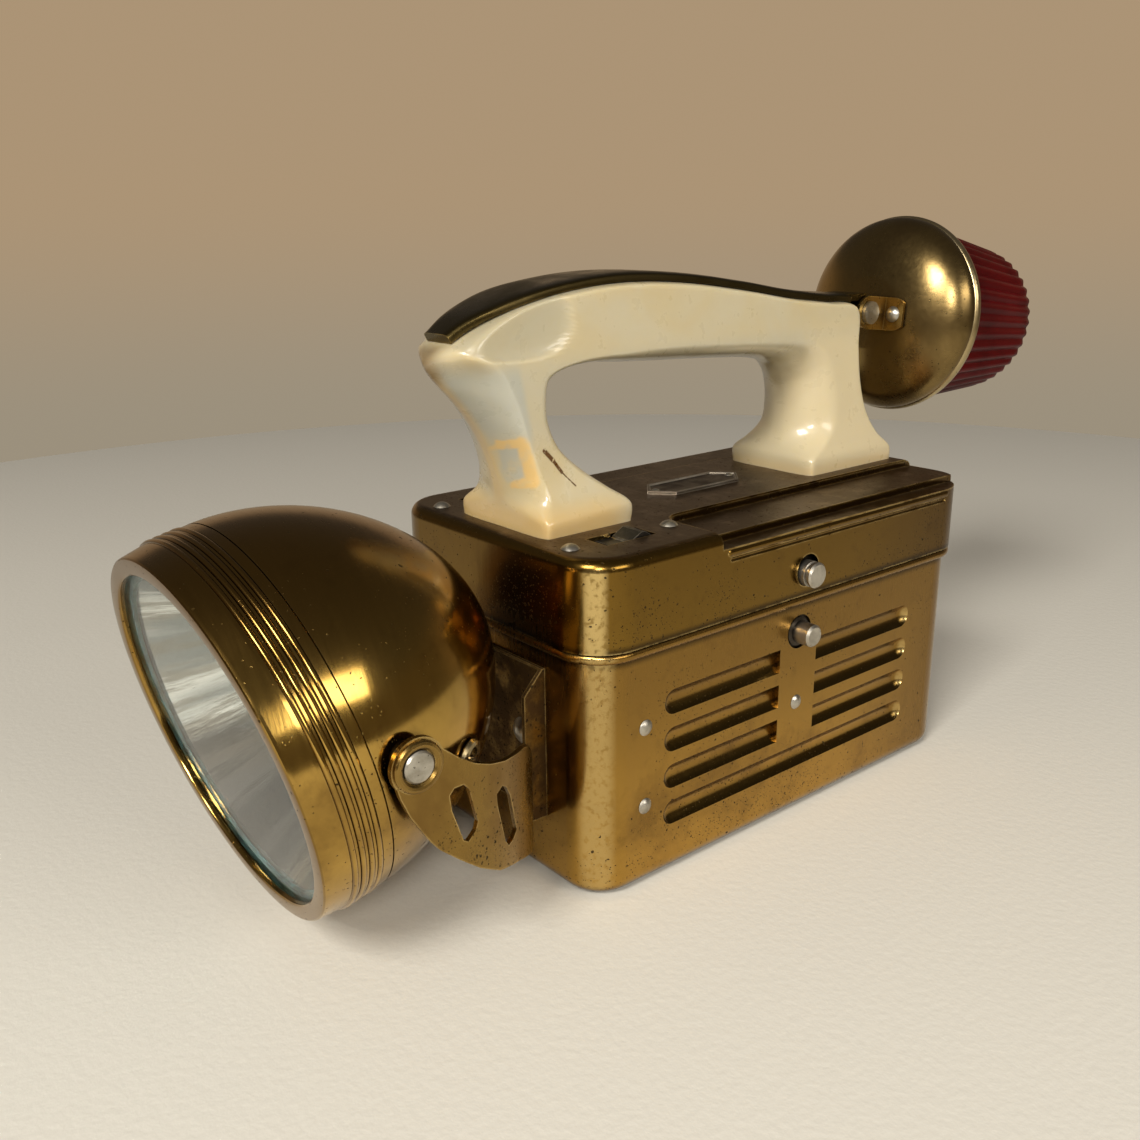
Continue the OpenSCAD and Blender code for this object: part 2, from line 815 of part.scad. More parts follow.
module handle_screws() {
    color("silver")
        for (y = screw_ys)
            translate([0, y, lid_top - sheet - gap]) {
                translate([0, 0, -2.6])
                    cylinder(r = 4.5, h = 2.6);
                cylinder(r = screw_r, h = 14);
            }
}

// section of the strip: across, and out from the grip
function strip_ring(row, next, lift) =
    let (dy = next[0] - row[0], dz = next[1] - row[1], l = norm([dy, dz]), ny = -dz / l, nz = dy / l,
        w = strip_half, t = strip_t,
        shape = [[w, 0], [w * 0.5, 0], [-w * 0.5, 0], [-w, 0],
            [-w, t * 0.35], [-w + 0.5, t * 0.7], [-w * 0.55, t * 0.93], [0, t], [w * 0.55, t * 0.93],
            [w - 0.5, t * 0.7], [w, t * 0.35]])
    [for (p = shape) [p[0], row[0] + ny * (p[1] + lift), row[1] + nz * (p[1] + lift)]];

module handle_strip() {
    u0 = 7.72;
    u1 = strip_end;
    n = 36;
    rings = [for (i = [0 : n])
        let (u = u0 + (u1 - u0) * i / n, row = along(spine, u), next = along(spine, u + 0.02))
        strip_ring(row, next, 0.1 + 1.6 * pow(max(0, 1 - i / 4), 2))];
    color("darkolivegreen")
        translate([0, 0, lid_top + gap])
            skin(rings);
}

// tongue and barrel at the strip's rear end, which the flasher's ears turn on
module flasher_lug() {
    last = along(spine, strip_end);
    next = along(spine, strip_end + 0.02);
    lean = (last[1] - next[1]) / norm([next[0] - last[0], next[1] - last[1]]);
    start = last[0] + lean * (strip_t + 0.1) + 0.1;
    color("darkolivegreen")
        translate([0, 0, lid_top + gap])
            difference() {
                union() {
                    translate([-lug_half, start, last[1] + 0.2])
                        cube([2 * lug_half, flash_y - start, strip_t - 0.6]);
                    translate([-lug_half, flash_y, flash_up - gap])
                        rotate([0, 90, 0])
                            cylinder(r = 4.4, h = 2 * lug_half);
                    translate([-lug_half, flash_y - 3, flash_up])
                        cube([2 * lug_half, 3, last[1] + 0.7 - flash_up]);
                }
                translate([-30, flash_y, flash_up - gap])
                    rotate([0, 90, 0])
                        cylinder(r = 2 + run_gap, h = 60);
            }
}

module strip_pins() {
    color("dimgray")
        for (y = pin_ys)
            translate([0, y, lid_top + gap + strip_root(y) - 7.5])
                cylinder(r = 1.6, h = 7);
}

// the headlamp's frame: +Y back along its axis from the pivot
module lamp_place() {
    translate([0, lamp_y, pivot_z])
        rotate([lamp_tilt, 0, 0])
            children();
}

// turned pieces of the headlamp: +Z is back along its axis from the front rim
module lamp_axis() {
    lamp_place()
        translate([0, -pivot_in, 0])
            rotate([-90, 0, 0])
                children();
}

function lamp_curve(s, t) =
    let (u = max(0, min(1, (s - bezel_len) / (lamp_len - t - bezel_len))))
    (lamp_r - t) * pow(max(0, 1 - pow(u, 1.85)), 1 / 1.8);
dome_steps = [0, 0.06, 0.14, 0.22, 0.3, 0.38, 0.46, 0.54, 0.61, 0.68, 0.74, 0.8, 0.85, 0.89, 0.925, 0.955,
    0.978, 0.992, 1];

module lamp_shell() {
    out = lamp_len - bezel_len;
    inn = lamp_len - lamp_t - bezel_len;
    neck = lamp_r - lamp_t - gap;
    color("goldenrod")
        difference() {
            lamp_axis()
                rotate_extrude($fn = 128)
                    polygon(concat(
                        [[neck - lamp_t, dome_in], [neck, dome_in], [neck, bezel_len + gap]],
                        [for (u = dome_steps)
                            [lamp_curve(bezel_len + u * out, 0), bezel_len + gap + u * out]],
                        [for (i = [len(dome_steps) - 1 : -1 : 0])
                            [lamp_curve(bezel_len + dome_steps[i] * inn, lamp_t) - (i < 3 ? lamp_t + gap : 0),
                                bezel_len + gap + dome_steps[i] * inn]]
                    ));
            lamp_place()
                on_sides(lamp_r - 8, 0, 0)
                    cylinder(r = pin_r + gap, h = 16);
            eyelet_place()
                translate([0, 0, -6])
                    cylinder(r = eye_r + gap, h = 12);
        }
}

module lamp_bezel() {
    lip = lamp_r - 0.9;
    color("gold")
        lamp_axis()
            rotate_extrude($fn = 128) {
                polygon([[lens_open, 0.6], [lens_open + 0.6, 0], [lip - 0.6, 0], [lip, 0.5],
                    [lamp_r - 0.3, 6],
                    [lamp_r, 14], [lamp_r, bezel_len - gap], [lamp_r - lamp_t, bezel_len - gap],
                    [lamp_r - lamp_t, 13.4], [lamp_r - lamp_t - 0.6, 6], [lip - lamp_t - 0.1, 1.4],
                    [lens_open, 1.4]]);
                for (s = [7, 9, 11, 13])
                    translate([lamp_r - 0.35, s])
                        circle(0.7, $fn = 24);
            }
}

module lamp_lens() {
    r = lamp_r - 0.9 - lamp_t - 0.5;
    color("white", 0.4)
        lamp_axis()
            translate([0, 0, 1.4 + gap])
                rotate_extrude($fn = 128)
                    polygon([[0, -0.5], [lens_open * 0.5, -0.3], [lens_open - 1, 0], [r, 0], [r, glass_t],
                        [0, glass_t]]);
}

module lamp_gasket() {
    r = lamp_r - 0.9 - lamp_t - 0.5;
    color("darkcyan")
        lamp_axis()
            translate([0, 0, 1.4 + glass_t + 2 * gap])
                rotate_extrude($fn = 128)
                    polygon([[r - 3, 0], [r, 0], [r, 1.4], [r - 3, 1.4]]);
}

// paraboloid with a rim under the gasket and a neck for the bulb
module lamp_reflector() {
    s0 = 2.8 + glass_t + 3 * gap;
    r = lamp_r - 0.9 - lamp_t - 0.5;
    neck = s0 + bowl_deep + 9;
    color("whitesmoke")
        lamp_axis()
            rotate_extrude($fn = 128)
                polygon(concat(
                    [[r, s0], [r, s0 + lamp_t]],
                    [for (i = [0 : 9])
                        let (q = bowl_r - (bowl_r - bowl_in - lamp_t) * i / 9.1)
                        [q + lamp_t, s0 + lamp_t + para(q)]],
                    [[bowl_in + 0.9, neck], [bowl_in, neck]],
                    [for (i = [0 : 10])
                        let (q = bowl_in + (bowl_r - bowl_in) * i / 10)
                        [q, s0 + para(q) + (i == 0 ? 0.2 : 0)]]
                ));
}
function para(q) = bowl_deep * (bowl_r * bowl_r - q * q) / (bowl_r * bowl_r - bowl_in * bowl_in);

module lamp_socket() {
    s0 = 2.8 + glass_t + 3 * gap + bowl_deep;
    color("silver")
        lamp_axis()
            rotate_extrude()
                polygon([[5.2, s0 - 2], [7.65, s0 - 2], [7.65, s0 + 9.1], [9.4, s0 + 9.1], [9.4, s0 + 10.4],
                    [7.4, s0 + 10.4], [7.4, s0 + 15], [0, s0 + 15], [0, s0 + 13], [5.2, s0 + 13]]);
}

module lamp_bulb_base() {
    s0 = 2.8 + glass_t + 3 * gap + bowl_deep;
    color("goldenrod")
        lamp_axis()
            rotate_extrude()
                polygon([[0, s0 - 2.1], [6.9, s0 - 2.1], [6.9, s0 - 2.9], [4.6, s0 - 2.9], [4.6, s0 - 4.5],
                    [0, s0 - 4.5]]);
    color("goldenrod")
        lamp_axis()
            translate([0, 0, s0 - 2.5])
                cylinder(r = 5.1, h = 15.4);
}

module lamp_bulb_glass() {
    s0 = 2.8 + glass_t + 3 * gap + bowl_deep;
    color("white", 0.5)
        lamp_axis()
            translate([0, 0, s0 - 4.6])
                mirror([0, 0, 1]) {
                    cylinder(r = 4, h = 6);
                    translate([0, 0, 7])
                        sphere(5.4);
                }
}

// on the lamp's right side, square to the shell
module eyelet_place() {
    s = pivot_in + 15.8;
    r = lamp_curve(s, 0);
    slope = atan((lamp_curve(s - 1, 0) - lamp_curve(s + 1, 0)) / 2);
    lamp_place()
        rotate([0, 17, 0])
            translate([r, s - pivot_in, 0])
                rotate([0, 0, slope])
                    rotate([0, 90, 0])
                        children();
}

module wire_eyelet() {
    color("darkgoldenrod")
        eyelet_place()
            rotate_extrude()
                polygon([[eye_r - 0.7, -2.4], [eye_r, -2.4], [eye_r, gap + 0.1], [eye_r + 1, gap + 0.1],
                    [eye_r + 1.2, 0.5], [eye_r + 0.8, 1.2], [eye_r, 1.6], [eye_r - 0.7, 1.2]]);
}

module pivot_pins() {
    inner = lamp_r - 3.2;
    color("silver")
        lamp_place()
            on_sides(0, 0, 0) {
                translate([0, 0, inner - 1])
                    cylinder(r = pin_r, h = arm_x + run_gap - inner + 1.4);
                translate([0, 0, arm_x + run_gap])
                    rotate_extrude()
                        polygon([[0, 0], [head_r, 0], [head_r, 0.45], [head_r - 0.4, 0.8],
                            [head_r - 1.4, 0.95], [0, 1]]);
                translate([0, 0, inner - 1])
                    cylinder(r = pin_r * 1.6, h = 1);
            }
}

module pivot_washers() {
    color("silver")
        lamp_place()
            on_sides(lamp_r + gap, 0, 0)
                difference() {
                    cylinder(r = ear_r - 1.8, h = ear_gap - 2 * gap);
                    translate([0, 0, -1])
                        cylinder(r = pin_r + run_gap, h = 5);
                }
}

// the flasher's frame: +Y back along its axis from the pivot
module flash_place() {
    translate([0, flash_y, lid_top + flash_up])
        rotate([-flash_droop, 0, 0])
            children();
}

// turned pieces of the flasher: +Z is back along its axis from the rim
module flash_axis() {
    flash_place()
        translate([0, flash_reach, 0])
            rotate([-90, 0, 0])
                children();
}

function cap(q, r, d) = -d * sqrt(max(0, 1 - q * q / (r * r)));

module flasher_dome() {
    r = flash_r - 0.1;
    r2 = r - 0.9;
    d2 = flash_dome - 0.9;
    us = [0, 6, 12, 20, 28, 36, 44, 52, 60, 68];
    color("darkolivegreen")
        difference() {
            flash_axis()
                rotate_extrude($fn = 128)
                    polygon(concat(
                        [for (u = us) [r * cos(u), -flash_dome * sin(u)]],
                        [[0, -flash_dome + flash_flat], [0, -flash_dome + flash_flat + 0.9],
                            [12.2, -flash_dome + flash_flat + 0.9]],
                        [for (i = [len(us) - 2 : -1 : 0]) [r2 * cos(us[i]), -d2 * sin(us[i])]]
                    ));
            flash_place()
                for (s = [-1, 1])
                    translate([s * 10.2, flash_reach - flash_dome - 3, 0])
                        rotate([-90, 0, 0])
                            cylinder(r = 1.2 + gap, h = 8);
        }
}

module flasher_ring() {
    color("silver")
        flash_axis()
            rotate_extrude($fn = 128)
                polygon([[flash_r - 1, gap], [flash_r - 0.1, gap], [flash_r + 0.4, 0.6], [flash_r + 0.5, 2],
                    [flash_r, 3], [flash_r - 0.8, 3.4], [flash_r - 0.8, 2.2], [flash_r - 3.4, 2.2],
                    [flash_r - 3.4, 0.9], [flash_r - 1, 0.9]]);
}

module flasher_lens() {
    r = flash_r - 1.5;
    color("red")
        flash_axis()
            translate([0, 0, 2.25]) {
                difference() {
                    linear_extrude(flash_len - 3, scale = flash_taper, convexity = 4)
                        polygon([for (i = [0 : flutes * 6 - 1])
                            let (a = 360 * i / (flutes * 6), q = r - 0.55 + 0.55 * cos(360 * i / 6))
                            [q * cos(a), q * sin(a)]]);
                    translate([0, 0, -0.1])
                        cylinder(r1 = r - 3.2, r2 = (r - 3.2) * flash_taper, h = flash_len - 5);
                }
                translate([0, 0, flash_len - 3.3])
                    cylinder(r1 = (r - 1.1) * flash_taper, r2 = (r - 4) * flash_taper, h = 3.3);
            }
}

module flasher_socket() {
    floor_z = -flash_dome + flash_flat + 0.95;
    color("silver")
        flash_axis()
            translate([0, 0, floor_z])
                difference() {
                    cylinder(r = 7, h = 12);
                    translate([0, 0, 2])
                        cylinder(r = 5.2, h = 12);
                }
}

module flasher_bulb() {
    floor_z = -flash_dome + flash_flat + 0.95;
    color("gold")
        flash_axis()
            translate([0, 0, floor_z + 2.05]) {
                cylinder(r = 5.1, h = 13);
                translate([0, 0, 12.9])
                    cylinder(r1 = 4.4, r2 = 5.4, h = 4.2);
                translate([0, 0, 19])
                    sphere(5.8);
            }
}

// two angle pieces riveted to the dome
module flasher_ears() {
    seat = flash_reach - flash_dome + flash_flat - gap;
    inner = lug_half + 0.3;
    color("goldenrod")
        difference() {
            flash_place()
                for (m = [0, 1])
                    mirror([m, 0, 0]) {
                        translate([inner, 0, -5])
                            cube([ear_t, seat, 10]);
                        translate([inner, 0, 0])
                            rotate([0, 90, 0])
                                cylinder(r = 5, h = ear_t);
                        translate([inner, seat - ear_t, -5])
                            cube([3.9, ear_t, 10]);
                        translate([inner + 3.9, seat, 0])
                            rotate([90, 0, 0])
                                intersection() {
                                    cylinder(r = 5, h = ear_t);
                                    translate([0, -6, -1])
                                        cube([3.6, 12, 4]);
                                }
                    }
            flash_place()
                rotate([0, 90, 0])
                    cylinder(r = 2 + gap, h = 60, center = true);
            flash_place()
                for (s = [-1, 1])
                    translate([s * 10.2, seat - 3, 0])
                        rotate([-90, 0, 0])
                            cylinder(r = 1.2 + gap, h = 8);
        }
}

module flasher_ear_rivets() {
    seat = flash_reach - flash_dome + flash_flat - gap;
    color("silver")
        flash_place()
            for (s = [-1, 1])
                translate([s * 10.2, seat - ear_t - gap, 0])
                    rotate([90, 0, 0])
                        rivet(2.4, 1.3, 1.2, ear_t + 0.9 + 3 * gap, 0.7);
}

module flasher_pin() {
    half = lug_half + 0.3 + ear_t + gap;
    color("silver")
        flash_place() {
            rotate([0, 90, 0])
                cylinder(r = 2, h = 2 * half + 1, center = true);
            for (s = [-1, 1])
                translate([s * (half + 0.6), 0, 0])
                    rotate([0, 90, 0])
                        cylinder(r = 3.4, h = 1.2, center = true);
        }
}

case_shell();
yoke_bracket();
yoke_rivets();
side_rivets();
strap_rivets();
contact_bracket();
contact_board();
contact_strips();
battery();
battery_terminals();
latch_roots();
latch_leaf_right();
latch_leaf_left();
latch_button_right();
latch_button_left();
lid_shell();
name_plate();
name_plate_rivets();
switch_frames();
switch_rivets();
switch_slider_right();
switch_slider_left();
handle();
handle_screws();
handle_strip();
strip_pins();
flasher_lug();
lamp_shell();
lamp_bezel();
lamp_lens();
lamp_gasket();
lamp_reflector();
lamp_socket();
lamp_bulb_base();
lamp_bulb_glass();
wire_eyelet();
pivot_pins();
pivot_washers();
flasher_dome();
flasher_ring();
flasher_lens();
flasher_socket();
flasher_bulb();
flasher_ears();
flasher_ear_rivets();
flasher_pin();
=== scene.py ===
import bpy
import bmesh
import json
import math
from mathutils import Matrix, Vector


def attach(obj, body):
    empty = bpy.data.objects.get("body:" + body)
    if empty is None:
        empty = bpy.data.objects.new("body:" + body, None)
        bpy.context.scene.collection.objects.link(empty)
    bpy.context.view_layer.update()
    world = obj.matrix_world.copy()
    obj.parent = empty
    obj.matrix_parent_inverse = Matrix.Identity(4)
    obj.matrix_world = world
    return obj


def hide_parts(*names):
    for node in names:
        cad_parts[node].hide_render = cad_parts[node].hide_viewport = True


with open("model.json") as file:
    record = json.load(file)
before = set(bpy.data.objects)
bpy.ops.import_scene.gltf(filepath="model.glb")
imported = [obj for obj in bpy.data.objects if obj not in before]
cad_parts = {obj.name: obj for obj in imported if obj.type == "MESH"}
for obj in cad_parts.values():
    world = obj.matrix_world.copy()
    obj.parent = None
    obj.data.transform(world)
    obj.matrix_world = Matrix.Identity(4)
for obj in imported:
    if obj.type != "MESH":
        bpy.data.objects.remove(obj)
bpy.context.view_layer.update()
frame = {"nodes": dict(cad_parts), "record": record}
scene = bpy.context.scene
nodes = frame["nodes"]
bodyOf = {name: body for body, names in frame["record"]["behaviour"]["bodies"].items() for name in names}
print("frame loaded:", len(nodes), "nodes")

# picture taking
shot = {
    "place": (0.2237, -0.2307, 0.1632),
    "azimuth": 50.605,
    "elevation": 17.42,
    "roll": -0.614,
    "lens": 35.94,
}
a, e, r = (math.radians(shot[k]) for k in ("azimuth", "elevation", "roll"))
back = Vector((math.sin(a) * math.cos(e), -math.cos(a) * math.cos(e), math.sin(e)))
side = (-back).cross(Vector((0, 0, 1))).normalized()
up = side.cross(-back)
right = math.cos(r) * side + math.sin(r) * up
above = -math.sin(r) * side + math.cos(r) * up
camData = bpy.data.cameras.new("photoCamera")
camData.sensor_width = 36
camData.sensor_fit = "HORIZONTAL"
camData.lens = shot["lens"]
camData.clip_start = 0.01
camData.clip_end = 50
camera = bpy.data.objects.new("photoCamera", camData)
scene.collection.objects.link(camera)
turn = Matrix((right, above, back)).transposed().to_4x4()
camera.matrix_world = Matrix.Translation(shot["place"]) @ turn
scene.camera = camera
scene.view_settings.view_transform = "Standard"
print("camera set")


# small helpers for materials
def freshMaterial(name):
    mat = bpy.data.materials.new(name)
    mat.use_nodes = True
    tree = mat.node_tree
    tree.nodes.clear()
    out = tree.nodes.new("ShaderNodeOutputMaterial")
    shader = tree.nodes.new("ShaderNodeBsdfPrincipled")
    tree.links.new(shader.outputs[0], out.inputs[0])
    return mat, tree, shader


def put(tree, kind, sockets=None, **settings):
    node = tree.nodes.new(kind)
    for key, value in settings.items():
        setattr(node, key, value)
    for key, value in (sockets or {}).items():
        if isinstance(value, bpy.types.NodeSocket):
            tree.links.new(value, node.inputs[key])
        else:
            node.inputs[key].default_value = value
    return node


def noise(tree, where, scale, detail=4.0, rough=0.55, twist=0.0):
    return put(tree, "ShaderNodeTexNoise", {"Vector": where, "Scale": scale, "Detail": detail,
        "Roughness": rough, "Distortion": twist}).outputs["Fac"]


def ramp(tree, value, low, high, top=1.0, bottom=0.0):
    return put(tree, "ShaderNodeMapRange", {"Value": value, "From Min": low, "From Max": high, "To Min": bottom,
        "To Max": top}, interpolation_type="SMOOTHSTEP").outputs["Result"]


def sums(tree, op, one, two=0.0, three=0.0):
    return put(tree, "ShaderNodeMath", {0: one, 1: two, 2: three}, operation=op).outputs[0]


def times(tree, one, two):
    return sums(tree, "MULTIPLY", one, two)


def blendColour(tree, share, one, two):
    return put(tree, "ShaderNodeMix", {0: share, 6: one, 7: two}, data_type="RGBA").outputs[2]


def vectors(tree, op, one, two=(0, 0, 0), three=(0, 0, 0)):
    return put(tree, "ShaderNodeVectorMath", {0: one, 1: two, 2: three}, operation=op).outputs[0]


def dotOf(tree, one, two):
    return put(tree, "ShaderNodeVectorMath", {0: one, 1: two}, operation="DOT_PRODUCT").outputs["Value"]


def scaled(tree, one, share):
    return put(tree, "ShaderNodeVectorMath", {0: one, "Scale": share}, operation="SCALE").outputs[0]


def stretched(tree, where, scale):
    return put(tree, "ShaderNodeMapping", {"Vector": where, "Scale": scale}).outputs[0]


def objectSpace(tree):
    return put(tree, "ShaderNodeTexCoord").outputs["Object"]


def normalOf(tree):
    return put(tree, "ShaderNodeTexCoord").outputs["Normal"]


# one coordinate of a place or a direction: height, unless another axis is named
def heightOf(tree, where, axis=2):
    return put(tree, "ShaderNodeSeparateXYZ", {0: where}).outputs[axis]


def bumped(tree, shader, height, strength, distance):
    bump = put(tree, "ShaderNodeBump", {"Height": height, "Strength": strength, "Distance": distance})
    tree.links.new(bump.outputs[0], shader.inputs["Normal"])


# how far a surface turns within a small radius: 1 along edges
def edgeOf(tree, radius):
    soft = put(tree, "ShaderNodeBevel", {"Radius": radius}, samples=4).outputs[0]
    plain = put(tree, "ShaderNodeNewGeometry").outputs["Normal"]
    return ramp(tree, sums(tree, "SUBTRACT", 1.0, dotOf(tree, soft, plain)), 0.01, 0.14)


# how enclosed a place is, from ambient occlusion: used for painted shade and dirt in corners, and for dust
def crevice(tree, reach):
    shade = put(tree, "ShaderNodeAmbientOcclusion", {"Distance": reach}, samples=4).outputs["AO"]
    return ramp(tree, shade, 0.35, 0.8, 0.0, 1.0)


# a place pushed about a little, so that marks lose their regular shape
def wobbled(tree, where, scale, amount):
    push = put(tree, "ShaderNodeTexNoise", {"Vector": where, "Scale": scale, "Detail": 2.0}).outputs["Color"]
    return vectors(tree, "MULTIPLY_ADD", push, (amount,) * 3, where)


# age spots: small dark pits that gather in patches
def pits(tree, where, size, share, patch, extra=None):
    where = wobbled(tree, where, 0.6 / size, size * 1.4)
    cells = put(tree, "ShaderNodeTexVoronoi", {"Vector": where, "Scale": 1 / size, "Randomness": 1.0})
    dot = ramp(tree, cells.outputs["Distance"], 0.16, 0.36, 0.0, 1.0)
    pick = put(tree, "ShaderNodeSeparateColor", {0: cells.outputs["Color"]}).outputs[0]
    crowd = noise(tree, where, patch, 3.0)
    limit = ramp(tree, crowd, 0.40, 0.66, 1.0 - share, 1.0)
    if extra is not None:
        limit = sums(tree, "SUBTRACT", limit, extra)
    return times(tree, dot, sums(tree, "GREATER_THAN", pick, limit))


# distance from a line between two points, as a thin mark
def stroke(tree, where, one, two, width):
    span = Vector(two) - Vector(one)
    rel = vectors(tree, "SUBTRACT", where, one)
    share = put(tree, "ShaderNodeClamp", {0: dotOf(tree, rel, span / span.length_squared)}).outputs[0]
    spine = scaled(tree, span, share)
    gap = put(tree, "ShaderNodeVectorMath", {0: rel, 1: spine}, operation="DISTANCE").outputs["Value"]
    return ramp(tree, gap, width * 0.5, width, 0.0, 1.0)


# a bent line: each point carries the width up to the next
def lines(tree, where, points):
    drawn = None
    for (one, width), (two, _) in zip(points, points[1:]):
        piece = stroke(tree, where, [c / 1000 for c in one], [c / 1000 for c in two], width / 1000)
        drawn = piece if drawn is None else sums(tree, "MAXIMUM", drawn, piece)
    return drawn


# polished gold-coloured sheet, browned, scratched and pitted, with painted shade towards the top and back, in
# corners, in grooves and along the seam, and painted glints on the upright corners
dirtAndShadeTone = {"corner": (0.05, 0.032, 0.016, 1), "seam": (0.040, 0.026, 0.012, 1), "groove": (0.045, 0.031, 0.009, 1),
    "rust": (0.075, 0.040, 0.016, 1), "pit": (0.022, 0.016, 0.010, 1)}
pitSize = {"small": 0.0006, "large": 0.0012, "rare": 0.35, "patch": (42, 30)}
fineness = {"smear": 210, "dust": 130, "rust": 150, "wear": 160, "cornerGlint": 700}


def goldSheet(name, look):
    mat, tree, shader = freshMaterial(name)
    where, facing = objectSpace(tree), normalOf(tree)
    height = heightOf(tree, where)
    tarnishAndShade = ramp(tree, noise(tree, where, look["cloud"], 6.0, 0.6, 0.4), look["from"], look["to"])
    for key, axis in (("high", 2), ("rear", 1)):  # painted shade: browner and darker towards the top and the back, standing in for how light falls there and what those faces reflect
        if key in look:
            tarnishAndShade = sums(tree, "MAXIMUM", tarnishAndShade, ramp(tree, heightOf(tree, where, axis), *look[key]))
    low = half = None
    if "low" in look:  # more pits near the foot
        low = ramp(tree, height, *look["low"])
        half = times(tree, low, 0.5)
    mark = sums(tree, "MAXIMUM", pits(tree, where, pitSize["small"], look["pits"], pitSize["patch"][0], low),
        pits(tree, where, pitSize["large"], look["pits"] * pitSize["rare"], pitSize["patch"][1], half))
    smear = ramp(tree, noise(tree, where, fineness["smear"], 5.0, 0.65), 0.50, 0.74)
    colour = blendColour(tree, tarnishAndShade, look["gold"], look["brown"])
    colour = blendColour(tree, times(tree, smear, 0.30), colour, look["brown"])
    flat = rust = None
    if "top" in look:  # the upper faces: dust over painted shade, which stands in for the dim ceiling they reflect
        flat = ramp(tree, heightOf(tree, facing), 0.80, 0.97)
        dust = ramp(tree, noise(tree, where, fineness["dust"], 6.0, 0.7), 0.46, 0.72)
        dustOnShadedTop = blendColour(tree, times(tree, dust, 0.6), look["top"], look["dust"])
        colour = blendColour(tree, flat, colour, dustOnShadedTop)
    if "pressed" in look:  # painted shade: the upward-facing lower half of each groove is darkened, standing in for the dark room it reflects
        grime = ramp(tree, heightOf(tree, facing), 0.08, 0.5, 0.75)
        grime = times(tree, grime, sums(tree, "LESS_THAN", height, look["pressed"]))
        colour = blendColour(tree, grime, colour, dirtAndShadeTone["groove"])
    if "face" in look:  # the rim's front is browner
        ahead = ramp(tree, dotOf(tree, facing, look["face"]), 0.50, 0.90, 0.75)
        colour = blendColour(tree, ahead, colour, look["brown"])
    if "rust" in look:  # the browned, rough part near the case
        rust = ramp(tree, heightOf(tree, where, 1), *look["rust"])
        rust = times(tree, rust, ramp(tree, noise(tree, where, fineness["rust"], 6.0, 0.7), 0.30, 0.56))
        colour = blendColour(tree, times(tree, rust, 0.92), colour, dirtAndShadeTone["rust"])
    # painted shade and dirt: corners darkened by ambient occlusion; on the upper faces the same mask lays dust
    # instead
    corner = times(tree, crevice(tree, 0.006), look["dirtAndShade"])
    if flat is not None:
        colour = blendColour(tree, times(tree, corner, flat), colour, look["dust"])
        corner = times(tree, corner, sums(tree, "SUBTRACT", 1.0, flat))
    colour = blendColour(tree, corner, colour, dirtAndShadeTone["corner"])
    if "seam" in look:  # painted shade: dark bands just above and below the bead, where the lid meets the case
        clear, dark, stop = look["seam"]
        line = times(tree, ramp(tree, height, clear, dark, 0.85), sums(tree, "LESS_THAN", height, stop))
        colour = blendColour(tree, line, colour, dirtAndShadeTone["seam"])
    worn = ramp(tree, noise(tree, where, fineness["wear"], 4.0), 0.30, 0.60, look["worn"])
    colour = blendColour(tree, times(tree, edgeOf(tree, look["edge"]), worn), colour, look["bright"])
    if "cornerGlint" in look:  # painted highlight: upright corners lightened, standing in for the bright table they reflect
        cornerGlint = sums(tree, "ABSOLUTE", times(tree, heightOf(tree, facing, 0), heightOf(tree, facing, 1)))
        broken = ramp(tree, noise(tree, where, fineness["cornerGlint"], 3.0), 0.30, 0.52, 1.0, 0.35)
        colour = blendColour(tree, times(tree, ramp(tree, cornerGlint, *look["cornerGlint"]), broken), colour, look["bright"])
    colour = blendColour(tree, times(tree, mark, 0.88), colour, dirtAndShadeTone["pit"])
    tree.links.new(colour, shader.inputs["Base Color"])
    shader.inputs["Metallic"].default_value = 1.0
    streak = noise(tree, stretched(tree, where, look["grain"]), 1.0, 3.0, 0.6)
    rough = sums(tree, "MULTIPLY_ADD", tarnishAndShade, look["dull"], look["gloss"])
    for mask, gain in ((streak, 0.10), (mark, 0.4), (flat, 0.18), (rust, 0.35)):
        if mask is not None:
            rough = sums(tree, "MULTIPLY_ADD", mask, gain, rough)
    tree.links.new(rough, shader.inputs["Roughness"])
    scale, gain = look["dents"]
    dent = sums(tree, "MULTIPLY_ADD", mark, -0.6, times(tree, streak, look["scratch"]))
    dent = sums(tree, "MULTIPLY_ADD", noise(tree, where, scale, 2.0), gain, dent)
    bumped(tree, shader, dent, 0.25, 0.00015)
    return mat


